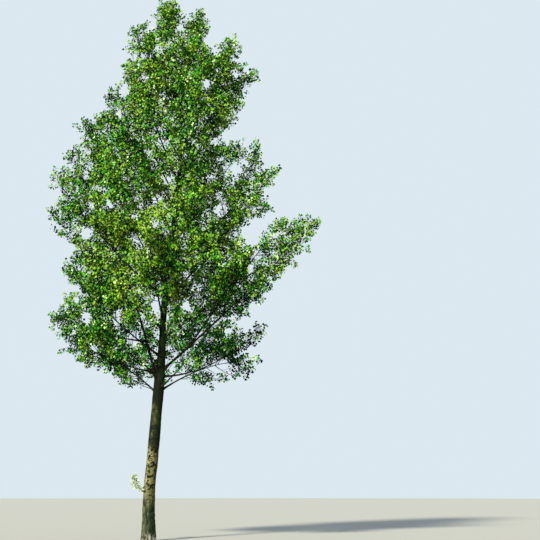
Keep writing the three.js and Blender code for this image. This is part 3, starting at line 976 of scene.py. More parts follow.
@dataclass(frozen=True)
class SidePlans:
    """The limbs on the near and far sides of the crown, which follow its general outline."""

    count: int = 14
    lowest_top: float = 6500.0
    highest_top: float = 16600.0
    turns: tuple[float, ...] = (48.0, -50.0, 0.0, -25.0, 26.0)
    rise: float = 0.74
    drop: float = 350.0
    lowest_spring: float = 4600.0
    crown_reach: float = 3450.0
    widest_height: float = 10000.0
    lower_span: float = 6800.0
    upper_span: float = 8100.0
    upper_power: float = 1.4
    breadth: float = 1000.0
    breadth_loss: float = 0.028
    sag: float = 0.04
    bare: float = 0.28

    def crown_reach_at(self, height: Any) -> Any:
        """How far the crown reaches: an ellipse below its widest height, then a soft cone.

        Args:
            height: heights.

        Returns:
            The reach at each.
        """
        below = np.clip((self.widest_height - height) / self.lower_span, 0.0, 1.0)
        above = np.clip((height - self.widest_height) / self.upper_span, 0.0, 1.0)
        return self.crown_reach * np.sqrt(1.0 - below**2) * (1.0 - above**self.upper_power)

    def plans(self) -> list[LimbPlan]:
        """The plans, near and far in turn, from the lowest up.

        Returns:
            The plans.
        """
        made = []
        for i in range(self.count):
            top = mix(self.lowest_top, self.highest_top, i / (self.count - 1))
            near = i % 2 == 0
            made.append(
                LimbPlan(
                    name=f"{'near' if near else 'far'}_side_{i // 2 + 1}",
                    springs=max(self.lowest_spring, top * self.rise - self.drop),
                    azimuth=(-90.0 if near else 90.0) + self.turns[i // 2 % len(self.turns)],
                    reach=float(self.crown_reach_at(top)),
                    top=top,
                    sag=self.sag,
                    bare=self.bare,
                    breadth=self.breadth - self.breadth_loss * (top - self.lowest_top),
                )
            )
        return made


@dataclass(frozen=True)
class Limb:
    """A limb's curve from its root to its tip, and the balls along it that are its foliage's space."""

    name: str
    root: np.ndarray
    middle: np.ndarray
    tip: np.ndarray
    bare: float
    breadth: float
    crown: bool = False
    blunt: float = 0.4
    full_at_root: float = 0.15
    foliage_start: float = 0.2
    ball_count: int = 14
    divisions: int = 200

    def bezier(self, t: np.ndarray) -> np.ndarray:
        """Points of the quadratic curve (1-t)^2 root + 2t(1-t) middle + t^2 tip."""
        t = np.asarray(t)[..., None]
        return (1 - t) ** 2 * self.root + 2 * t * (1 - t) * self.middle + t**2 * self.tip

    def lengths(self) -> np.ndarray:
        """Length of curve from the root up to each of its equal divisions.

        Returns:
            A length for each division's end, the first 0.
        """
        points = self.bezier(np.linspace(0.0, 1.0, self.divisions + 1))
        steps = np.linalg.norm(np.diff(points, axis=0), axis=1)
        return np.concatenate([[0.0], np.cumsum(steps)])

    @property
    def length(self) -> float:
        """Length of the curve."""
        return float(self.lengths()[-1])

    def parameter(self, share: np.ndarray) -> np.ndarray:
        """The curve's parameter at each share of its length."""
        lengths = self.lengths()
        return np.interp(np.asarray(share) * lengths[-1], lengths, np.linspace(0, 1, len(lengths)))

    def points(self, share: np.ndarray) -> np.ndarray:
        """Points at shares of the length."""
        return self.bezier(self.parameter(share))

    def tangents(self, share: np.ndarray) -> np.ndarray:
        """Directions at shares of the length: 2(1-t)(middle - root) + 2t(tip - middle), made one long."""
        t = self.parameter(share)[..., None]
        return unit((1 - t) * (self.middle - self.root) + t * (self.tip - self.middle))

    @property
    def start(self) -> float:
        """Share of the length where the foliage's space begins."""
        return 0.0 if self.crown else max(self.bare, self.foliage_start)

    def spindle(self, share: np.ndarray) -> np.ndarray:
        """A space's radius along it: blunt + (1 - blunt) sin(pi s), with s from part way up to 1."""
        wave = np.sin(math.pi * mix(self.full_at_root, 1.0, np.asarray(share)))
        return self.breadth * (self.blunt + (1.0 - self.blunt) * wave)

    def out_of_space(self, points: np.ndarray) -> np.ndarray:
        """How far out of the limb's space each point lies: least distance to a ball over its radius.

        Args:
            points: places.

        Returns:
            1 on the space's skin, less inside and more outside.
        """
        share = np.linspace(0.0, 1.0, self.ball_count)
        centres = self.points(mix(self.start, 1.0, share))
        gaps = np.linalg.norm(points[..., None, :] - centres, axis=-1)
        return (gaps / self.spindle(share)).min(axis=-1)

    @staticmethod
    def grown(plan: LimbPlan, limbs: dict[str, "Limb"], trunk: Trunk, highest_bough: float) -> "Limb":
        """A limb from its plan.

        Its tip lies inside the reach by the space's blunt radius, and its middle hangs by the sag.

        Args:
            plan: the limb's plan.
            limbs: the limbs that are grown already, by name.
            trunk: the trunk.
            highest_bough: limbs that spring above this have no bare stretch.

        Returns:
            The limb.
        """
        parent = limbs.get(plan.parent)
        root = parent.points(plan.springs) if parent else trunk.centre(plan.springs)
        turn = math.radians(plan.azimuth)
        tip = np.array([plan.reach * math.cos(turn), plan.reach * math.sin(turn), plan.top])
        tip = tip - unit(tip - root) * Limb.blunt * plan.breadth
        length = float(np.linalg.norm(tip - root))
        middle = (root + tip) / 2 - np.array([plan.bow, 0.0, 2 * plan.sag * length])
        bare = 0.0 if not parent and plan.springs > highest_bough else plan.bare
        return Limb(plan.name, root, middle, tip, bare, plan.breadth)


@dataclass(frozen=True)
class Boughs:
    """The limbs' bark: knobbly tapering tubes with a collar where they leave the trunk or a parent."""

    root_base: float = 17.0
    root_share: float = 0.0042
    tip_radius: float = 3.0
    taper_power: float = 0.85
    sides: int = 14
    rings: int = 64
    collar: float = 0.75
    collar_length: float = 110.0
    knob: float = 0.32
    knob_turn: float = 1.6
    knob_length: float = 60.0
    knob_cells: tuple[float, float, float] = (1.0, 1.0, 2.0)
    bark_cells: tuple[float, float, float] = (0.5, 0.5, 0.7)
    bark_share: float = 0.6
    first_seed: int = 300

    def radii(self, limb: Limb, share: np.ndarray, trunk: Trunk) -> np.ndarray:
        """Radius along a limb: root radius falls to the tip's by a power of the share.

        Args:
            limb: the limb.
            share: shares of its length.
            trunk: the trunk.

        Returns:
            The radius at each share.
        """
        root = self.root_base + self.root_share * limb.length
        if limb.crown:
            root = float(trunk.radius(np.array(trunk.top), np.array(0.0)))
        return mix(root, self.tip_radius, share**self.taper_power)

    def tube(self, limb: Limb, trunk: Trunk, seed: int) -> Surface:
        """A limb's bark.

        Its radius grows by a collar that dies away from the trunk's skin outwards, and by two sizes of
        noise for knobs and bark.

        Args:
            limb: the limb.
            trunk: the trunk.
            seed: picks the noise.

        Returns:
            The closed tube.
        """
        share = np.linspace(0.0, 1.0, self.rings + 1)
        centres = limb.points(share)
        radius = self.radii(limb, share[:-1], trunk)
        skin = float(trunk.radius(limb.root[2], np.array(0.0))) if not limb.crown else 0.0
        past = np.maximum(share[:-1] * limb.length - skin, 0.0)
        radius = radius * (1.0 + (0.0 if limb.crown else self.collar) * np.exp(-past / self.collar_length))
        turn = np.arange(self.sides) * (2 * math.pi / self.sides)
        spot = np.empty((self.rings, self.sides, 3))
        spot[..., 0] = self.knob_turn * np.cos(turn)
        spot[..., 1] = self.knob_turn * np.sin(turn)
        spot[..., 2] = (share[:-1] * limb.length / self.knob_length)[:, None]
        knobs = noise(spot, self.knob_cells, seed) + self.bark_share * noise(spot, self.bark_cells, seed + 1)
        wall = radius[:, None] * (1.0 + self.knob * (knobs - (1.0 + self.bark_share) / 2))
        return tubes(centres[None], wall[None], self.sides)

    def build(self, limbs: list[Limb], trunk: Trunk, nodes: list[str]) -> None:
        """Makes one piece of all the limbs' bark.

        Args:
            limbs: the limbs.
            trunk: the trunk.
            nodes: the solids that the bark stands for.
        """
        joined = Surface.joined(
            [self.tube(limb, trunk, self.first_seed + 2 * i) for i, limb in enumerate(limbs)]
        )
        piece = joined.mesh_object("limbs_with_bark", LimbBark().material(), smooth=True)
        fix_in_frame(piece, Slot.LIMB, nodes)


# Foliage


@dataclass
class Lines:
    """Bent lines that grow together: a row of each array is one line."""

    root: np.ndarray
    middle: np.ndarray
    tip: np.ndarray

    def __len__(self) -> int:
        """How many lines there are."""
        return len(self.root)

    def kept(self, keep: np.ndarray) -> "Lines":
        """The lines that a mask or a list of numbers picks."""
        return Lines(self.root[keep], self.middle[keep], self.tip[keep])

    def length(self) -> np.ndarray:
        """Each line's length, by its chord."""
        return np.linalg.norm(self.tip - self.root, axis=-1)

    def points(self, t: np.ndarray) -> np.ndarray:
        """Points of each line's quadratic curve, at one parameter a line or at several.

        Args:
            t: parameters, with a row for each line.

        Returns:
            A point for each parameter.
        """
        shape = (slice(None),) + (None,) * (t.ndim - 1)
        t = t[..., None]
        return (1 - t) ** 2 * self.root[shape] + 2 * t * (1 - t) * self.middle[shape] + t**2 * self.tip[shape]

    def tangents(self, t: np.ndarray) -> np.ndarray:
        """Each line's direction at a parameter."""
        t = t[..., None]
        return unit((1 - t) * (self.middle - self.root) + t * (self.tip - self.middle))

    @staticmethod
    def joined(parts: list["Lines"]) -> "Lines":
        """Several sets of lines as one."""
        return Lines(*(np.concatenate([getattr(p, key) for p in parts]) for key in vars(parts[0])))


def sprouting(
    tangent: np.ndarray, turn: np.ndarray, tilt: np.ndarray, lift: float
) -> tuple[np.ndarray, np.ndarray]:
    """The direction of a shoot that leaves a stem.

    It is tangent cos tilt + outward sin tilt + lift up, made one long, where outward turns round the
    stem by the turn.

    Args:
        tangent: the stem's directions.
        turn: turn round the stem.
        tilt: angle away from the stem.
        lift: how much it turns up towards the light.

    Returns:
        The shoot's direction and the outward direction.
    """
    across, along = cross_axes(tangent, side_reference(tangent))
    outward = across * np.cos(turn)[..., None] + along * np.sin(turn)[..., None]
    direction = tangent * np.cos(tilt)[..., None] + outward * np.sin(tilt)[..., None] + UP * lift
    return unit(direction), outward


@dataclass(frozen=True)
class Body:
    """The crown's body, which its foliage fills between the limbs.

    At each height it is two half ellipses, which reach left and right of the trunk as the profile says
    and near and far by a share of the crown's general reach.
    """

    profile: tuple[tuple[float, float, float], ...] = (
        (4900, 0, 100), (5250, 300, 900), (5600, 1500, 2000), (6000, 2300, 2900), (6400, 2800, 3100),
        (6750, 3000, 2000), (7050, 2850, 2500), (7500, 2300, 3000), (8100, 2150, 3450),
        (8700, 2250, 3700), (9200, 1950, 3300), (9600, 2250, 2350), (10100, 2600, 2400),
        (10400, 2850, 3100), (10900, 2950, 2900), (11300, 3000, 2800), (11700, 3000, 2150),
        (12100, 2800, 2300), (12350, 2500, 2850), (12650, 2300, 2950), (12850, 2350, 2000),
        (13300, 2350, 1950), (13700, 1900, 2200), (14300, 1400, 2300), (14900, 1050, 2750),
        (15400, 950, 2750), (15800, 850, 2600), (16300, 950, 1350), (16700, 900, 1350),
        (17000, 300, 1400), (17300, 200, 850), (17500, 150, 800), (17750, 50, 450),
    )
    depth_share: float = 0.72
    least_reach: float = 60.0
    fade: float = 300.0

    def out_of(self, points: np.ndarray, trunk: Trunk) -> np.ndarray:
        """How far out of the body each point lies.

        Args:
            points: places.
            trunk: the trunk, whose centre the body lies round.

        Returns:
            The root of (dx / reach)^2 + (dy / depth)^2, which is 1 on the body's skin, and more for
            points above or below the profile.
        """
        heights, left, right = np.array(self.profile, dtype=float).T
        height = np.clip(points[..., 2], heights[0], heights[-1])
        centre = trunk.centre(height)
        offset = points - centre
        middle = centre[..., 0]
        reach = np.where(
            offset[..., 0] < 0.0,
            middle + np.interp(height, heights, left),
            np.interp(height, heights, right) - middle,
        )
        depth = self.depth_share * SidePlans().crown_reach_at(height)
        past = np.abs(points[..., 2] - height) / self.fade
        return np.hypot(offset[..., 0] / np.maximum(reach, self.least_reach), offset[..., 1] / depth) + past


def longest_inside(
    root: np.ndarray, direction: np.ndarray, longest: np.ndarray, inside: Callable[[np.ndarray], np.ndarray]
) -> np.ndarray:
    """How far each line can run before it leaves a space.

    Args:
        root: where each line starts.
        direction: its direction.
        longest: the most that it may run.
        inside: tells which points are inside.

    Returns:
        The length up to the last of its equal steps that all lie inside.
    """
    steps = np.linspace(1.0 / PATH_STEPS, 1.0, PATH_STEPS)
    path = root[:, None] + direction[:, None] * (longest[:, None] * steps)[..., None]
    count = np.cumprod(inside(path), axis=1).sum(axis=1)
    return longest * np.maximum(count, 1) / PATH_STEPS


def rows_of(counts: np.ndarray) -> tuple[np.ndarray, np.ndarray]:
    """For things dealt out by count: the row that each one belongs to, and its number in that row."""
    row = np.repeat(np.arange(len(counts)), counts)
    return row, np.arange(len(row)) - np.repeat(np.cumsum(counts) - counts, counts)


def bent(root: np.ndarray, direction: np.ndarray, length: np.ndarray, chance: np.random.Generator) -> Lines:
    """Lines that leave their root a little low and turn up, each also bent a little at random.

    The middle is the chord's, lowered by a share of the length and swayed by another.

    Args:
        root: where each starts.
        direction: which way it goes.
        length: how long it is.
        chance: the seeded run of random numbers.

    Returns:
        The lines.
    """
    tip = root + direction * length[:, None]
    sway = chance.normal(0.0, LINE_SWAY, (len(root), 3)) * length[:, None]
    return Lines(root, (root + tip) / 2 - UP * (LINE_SAG * length)[:, None] + sway, tip)


@dataclass(frozen=True)
class Branches:
    """Lesser branches on the trunk and limbs, which fill the crown's body between the limbs.

    They run to places that are spread through the body and the limbs' own spaces, thickly near the skin
    and thinly inside. Each leaves the trunk or a limb where a branch to its place costs least.
    """

    spacing: float = 480.0
    top_spacing: float = 360.0
    lowest: float = 4600.0
    top_from: float = 14700.0
    highest: float = 17900.0
    room: tuple[tuple[float, float], ...] = ((-4200.0, 6000.0), (-3600.0, 3600.0))
    jitter: float = 0.42
    tufts: tuple[tuple[float, float, float], ...] = (
        (140, 0, 17450), (180, -150, 17100), (140, 100, 16750), (220, -200, 16450), (1270, 0, 17000),
        (1270, 0, 16700), (2150, 0, 16200), (330, -300, 15500), (330, -300, 15000), (330, -350, 14450),
        (460, -500, 13650), (1500, -300, 13650), (-1850, 0, 13500), (2200, 0, 12450),
        (1880, -400, 10650), (-370, -600, 10650), (-3050, 0, 11750), (-3080, 0, 10600),
        (3400, 0, 10350), (2800, 0, 7200), (2400, 0, 6500), (-2950, 0, 6950), (-2150, 0, 5500),
        (2900, 0, 15150), (-60, 0, 17150), (-100, 0, 16800), (-150, -100, 16450), (0, -100, 17500),
        (-950, 0, 15550), (-980, 0, 15150), (-1350, 0, 14650), (-2000, 0, 13450), (-2150, 0, 13200),
        (2350, -200, 12250), (3250, 0, 12600), (3700, 0, 11600), (1880, -400, 10500),
        (500, -600, 11200), (1880, -400, 8750), (3500, -300, 8950), (-2750, 0, 6500), (-2750, 0, 7450),
        (-2000, -100, 5400), (4300, -400, 9540), (4600, -420, 9640), (4150, -400, 9640),
        (-2950, 0, 10350), (-2750, 0, 10050), (3300, -100, 11500), (3600, 0, 11350),
        (2000, -300, 12450), (2350, -100, 12400), (2750, 0, 15300), (-3150, 0, 6700),
        (2550, -100, 6350), (3650, -400, 9150), (1700, -700, 8600), (2050, -500, 8800),
        (-500, -200, 5350), (140, -150, 17300), (500, -100, 17350), (-520, -100, 15850),
        (270, -250, 16300), (1350, -300, 15200), (1500, -350, 13800), (260, -300, 15150),
        (1000, -600, 7700), (1150, -700, 7450), (1050, 0, 16950), (1000, -50, 16650),
        (400, -700, 11850), (1580, -350, 13600), (1800, -500, 10300), (3600, -380, 8850),
        (-1750, -150, 13550), (-200, -700, 10600), (-650, -600, 13250), (-450, -350, 6450),
        (-150, -500, 6150), (1250, 0, 17300), (1180, -50, 17000), (800, -900, 7850), (850, -800, 7650),
        (700, -900, 8050), (-1450, 0, 14450), (-1850, 0, 13650), (-2050, 0, 12150), (-2650, 0, 12450),
        (-2750, 0, 11400), (-3000, 0, 10500), (-2350, 0, 7600), (2300, -300, 8800), (4680, -100, 10000),
        (3600, 0, 10450), (1900, -600, 5250), (2400, -700, 5150), (1400, -600, 5400),
        (2900, -500, 5200), (-600, -600, 5250), (-1000, -500, 5000), (-250, -700, 5600),
        (250, -600, 6900), (650, -500, 7000), (500, -650, 6350), (-400, -500, 6000), (-600, -500, 5700),
        (-350, -450, 5150), (-700, -400, 4900), (1300, -500, 4950), (1700, -500, 4900),
        (2150, -400, 4850), (2600, -400, 4950), (3000, -300, 5050), (2600, 0, 14050),
        (480, -500, 11650), (-110, -500, 12200), (-60, -300, 6350), (-120, -300, 5950),
        (1170, -900, 7760), (1650, -700, 8370), (950, -200, 16600),
    )
    inner_share: float = 0.05
    shell: tuple[float, float] = (0.5, 0.92)
    body_share: float = 0.93
    space_share: float = 0.8
    root_step: float = 90.0
    begins: float = 0.3
    ends: float = 0.97
    trunk_zone: tuple[float, float] = (4900.0, 16000.0)
    best_cosine: float = 0.7
    turn_cost: float = 1.6
    drop_cost: float = 2.5
    least_rise: float = 0.3
    shortest: float = 150.0
    longest: float = 2900.0

    def places(
        self, trunk: Trunk, limbs: list[Limb], body: Body, chance: np.random.Generator
    ) -> np.ndarray:
        """The tufts' places, and those on a shaken lattice that lie in the body or in a limb's space.

        Args:
            trunk: the trunk.
            limbs: the limbs.
            body: the crown's body.
            chance: the seeded run of random numbers.

        Returns:
            The places.
        """
        lattice = np.concatenate(
            [
                self.lattice(self.spacing, self.lowest, chance),
                self.lattice(self.top_spacing, self.top_from, chance),
            ]
        )
        out_of_body = body.out_of(lattice, trunk)
        out_of_limbs = np.min([limb.out_of_space(lattice) for limb in limbs], axis=0)
        inside = (out_of_body <= self.body_share) | (out_of_limbs <= self.space_share)
        share = mix(self.inner_share, 1.0, ease(*self.shell, out_of_body))
        kept = lattice[inside & (chance.uniform(size=len(lattice)) < share)]
        return np.concatenate([kept, np.array(self.tufts, dtype=float)])

    def lattice(self, spacing: float, bottom: float, chance: np.random.Generator) -> np.ndarray:
        """Points of a shaken cubic lattice over the crown, from a height up.

        Args:
            spacing: the lattice's step.
            bottom: where it begins.
            chance: the seeded run of random numbers.

        Returns:
            The points.
        """
        axes = [np.arange(low, high, spacing) for low, high in (*self.room, (bottom, self.highest))]
        points = np.stack(np.meshgrid(*axes, indexing="ij"), axis=-1).reshape(-1, 3)
        return points + chance.uniform(-self.jitter, self.jitter, points.shape) * spacing

    def roots(self, trunk: Trunk, limbs: list[Limb]) -> tuple[np.ndarray, np.ndarray]:
        """Spots on the trunk and limbs that a branch can leave from, and the directions there.

        Args:
            trunk: the trunk.
            limbs: the limbs.

        Returns:
            The spots and the directions.
        """
        height = np.arange(*self.trunk_zone, self.root_step)
        spots, directions = [trunk.centre(height)], [np.broadcast_to(UP, (len(height), 3))]
        for limb in limbs:
            share = np.arange(self.begins * limb.bare, self.ends, self.root_step / limb.length)
            spots.append(limb.points(share))
            directions.append(limb.tangents(share))
        return np.concatenate(spots), np.concatenate(directions)

    def grown(self, trunk: Trunk, limbs: list[Limb], body: Body, chance: np.random.Generator) -> Lines:
        """All the branches.

        A branch costs its length, more as its angle to the stem departs from the best, and more as it
        rises less than it should.

        Args:
            trunk: the trunk.
            limbs: the limbs.
            body: the crown's body.
            chance: the seeded run of random numbers.

        Returns:
            The branches.
        """
        places = self.places(trunk, limbs, body, chance)
        spots, directions = self.roots(trunk, limbs)
        square = (places**2).sum(axis=1)[:, None] + (spots**2).sum(axis=1) - 2.0 * places @ spots.T
        length = np.sqrt(np.maximum(square, 1.0))
        cosine = (places @ directions.T - (spots * directions).sum(axis=1)) / length
        rise = (places[:, 2:3] - spots[:, 2]) / length
        cost = length * (1.0 + self.turn_cost * np.abs(cosine - self.best_cosine))
        cost += length * self.drop_cost * np.maximum(self.least_rise - rise, 0.0)
        best = np.argmin(cost, axis=1)
        chosen = length[np.arange(len(places)), best]
        keep = (chosen >= self.shortest) & (chosen <= self.longest)
        root, offset = spots[best[keep]], places[keep] - spots[best[keep]]
        return bent(root, unit(offset), np.linalg.norm(offset, axis=1), chance)


@dataclass(frozen=True)
class Foliage:
    """Shoots, spurs and leaves that grow on from the limbs and branches by one rule, finer at each step.

    A step is the distance between neighbours on a stem, a tilt is in degrees from the stem, and a spread
    is the standard deviation of a tilt or turn.
    """

    shoot_step: float = 95.0
    shoot_tilt: tuple[float, float] = (56.0, 24.0)
    shoot_lift: float = 0.3
    shoot_short: tuple[float, float] = (0.5, 1.0)
    limb_shoot_longest: float = 620.0
    limb_shoot_share: float = 0.85
    branch_shoot_longest: tuple[float, float] = (580.0, 300.0)
    shoot_begins: float = 0.38
    branch_leafy: tuple[float, float] = (0.85, 720.0)
    limb_shoot_spreads: tuple[float, float] = (0.3, 7.0)
    branch_shoot_spread: float = 8.0
    spur_step: float = 95.0
    spur_share: float = 0.85
    spur_zone: tuple[float, float] = (0.12, 0.8)
    spur_stray: float = 0.02
    spur_first: float = 0.1
    spur_length_shares: tuple[float, float] = (0.4, 0.12)
    spur_short: tuple[float, float] = (0.7, 1.25)
    spur_tilt: float = 48.0
    spur_spread: float = 9.0
    spur_lift: float = 0.15
    spur_lengths: tuple[float, float] = (60.0, 210.0)
    shoot_end: float = 0.55
    branch_end: float = 0.8
    fewest: int = 3
    leaf_step: float = 31.5
    leaf_zone: tuple[float, float] = (0.08, 0.92)
    leaf_crowding: float = 0.85
    leaf_length: tuple[float, float] = (56.0, 86.0)
    inner_leaf: float = 0.8
    inner_ends: float = 0.4
    stalk: tuple[float, float] = (28.0, 52.0)
    stalk_tilt: tuple[float, float] = (58.0, 14.0)
    stalk_lift: float = 0.1
    leaf_to_light: float = 0.85
    leaf_outward: float = 0.25
    leaf_sway: float = 0.35
    leaf_hang: float = 0.45
    seed: int = 4021

    def limb_shoots(self, limb: Limb, chance: np.random.Generator) -> Lines:
        """Shoots round a limb by the golden angle, each cut off where it would leave the limb's space.

        Args:
            limb: the limb.
            chance: the seeded run of random numbers.

        Returns:
            The shoots.
        """
        begin = 0.0 if limb.crown else max(limb.start, self.shoot_begins)
        count = int(round(limb.length * (1.0 - begin) / self.shoot_step))
        share = mix(begin, 1.0, (np.arange(count) + 0.5) / count)
        late = (share - begin) / (1.0 - begin)
        turn_spread, tilt_spread = self.limb_shoot_spreads
        turn = np.arange(count) * GOLDEN_ANGLE + chance.normal(0.0, turn_spread, count)
        tilt = np.radians(mix(*self.shoot_tilt, late) + chance.normal(0.0, tilt_spread, count))
        direction, _ = sprouting(limb.tangents(share), turn, tilt, self.shoot_lift)
        root = limb.points(share)
        longest = np.full(count, max(self.limb_shoot_longest, self.limb_shoot_share * limb.breadth))
        length = longest_inside(root, direction, longest, lambda points: limb.out_of_space(points) <= 1.0)
        length *= chance.uniform(*self.shoot_short, count)
        return bent(root, direction, length, chance)

    def branch_shoots(self, branches: Lines, chance: np.random.Generator) -> Lines:
        """Shoots round the branches by the golden angle, shorter towards each branch's tip.

        Args:
            branches: the branches.
            chance: the seeded run of random numbers.

        Returns:
            The shoots.
        """
        lengths = branches.length()
        stretch = np.minimum(self.branch_leafy[0] * lengths, self.branch_leafy[1])
        counts = np.maximum(self.fewest, np.round(stretch / self.shoot_step)).astype(int)
        row, order = rows_of(counts)
        late = (order + 0.5) / counts[row]
        share = 1.0 - (1.0 - late) * (stretch / lengths)[row]
        turn = order * GOLDEN_ANGLE + chance.uniform(0.0, 2 * math.pi, len(branches))[row]
        spread = chance.normal(0.0, self.branch_shoot_spread, len(row))
        tilt = np.radians(mix(*self.shoot_tilt, late) + spread)
        parents = branches.kept(row)
        direction, _ = sprouting(parents.tangents(share), turn, tilt, self.shoot_lift)
        length = mix(*self.branch_shoot_longest, late) * chance.uniform(*self.shoot_short, len(row))
        return bent(parents.points(share), direction, length, chance)

    def spurs(self, shoots: Lines, chance: np.random.Generator) -> Lines:
        """Short spurs round the shoots by the golden angle, shorter towards each shoot's tip.

        Args:
            shoots: the shoots.
            chance: the seeded run of random numbers.

        Returns:
            The spurs.
        """
        lengths = shoots.length()
        counts = np.round(self.spur_share * lengths / self.spur_step).astype(int)
        row, order = rows_of(counts)
        begin, stretch = self.spur_zone
        share = begin + stretch * (order + 0.5) / counts[row] + chance.normal(0.0, self.spur_stray, len(row))
        share = np.clip(share, self.spur_first, 1.0)
        turn = order * GOLDEN_ANGLE + chance.uniform(0.0, 2 * math.pi, len(shoots))[row]
        tilt = np.radians(self.spur_tilt + chance.normal(0.0, self.spur_spread, len(row)))
        parents = shoots.kept(row)
        direction, _ = sprouting(parents.tangents(share), turn, tilt, self.spur_lift)
        more, least = self.spur_length_shares
        wanted = (more * (1.0 - share) + least) * lengths[row] * chance.uniform(*self.spur_short, len(row))
        return bent(parents.points(share), direction, np.clip(wanted, *self.spur_lengths), chance)

    def ends(self, lines: Lines, begin: float) -> Lines:
        """The outer stretch of each line, which bears leaves as a twig does."""
        t = np.full(len(lines), begin)
        return Lines(lines.points(t), mix(lines.middle, lines.tip, begin), lines.tip)

    def leaves(self, twigs: Lines, light: np.ndarray, chance: np.random.Generator) -> "Leaves":
        """Leaves on stalks round each twig by the golden angle, thicker towards its tip.

        Each blade hangs and turns its face part way to the light, the rest at random.

        Args:
            twigs: what they grow on.
            light: direction towards the light.
            chance: the seeded run of random numbers.

        Returns:
            The leaves.
        """
        lengths = twigs.length()
        counts = np.maximum(self.fewest, np.round(lengths / self.leaf_step)).astype(int)
        row, order = rows_of(counts)
        begin, stretch = self.leaf_zone
        share = begin + stretch * ((order + 1.0) / counts[row]) ** self.leaf_crowding
        turn = order * GOLDEN_ANGLE + chance.uniform(0.0, 2 * math.pi, len(twigs))[row]
        parents = twigs.kept(row)
        root = parents.points(share)
        tilt = np.radians(chance.normal(*self.stalk_tilt, len(row)))
        direction, outward = sprouting(parents.tangents(share), turn, tilt, self.stalk_lift)
        base = root + direction * chance.uniform(*self.stalk, len(row))[:, None]
        anywhere = unit(chance.normal(0.0, 1.0, (len(row), 3)))
        facing = unit(self.leaf_to_light * light + anywhere + self.leaf_outward * outward)
        heading = direction + chance.normal(0.0, self.leaf_sway, (len(row), 3)) - self.leaf_hang * UP
        heading = unit(heading - facing * np.sum(heading * facing, axis=-1, keepdims=True))
        length = chance.uniform(*self.leaf_length, len(row))
        length *= mix(self.inner_leaf, 1.0, ease(0.0, self.inner_ends, share))
        return Leaves(root, base, heading, facing, length, row)


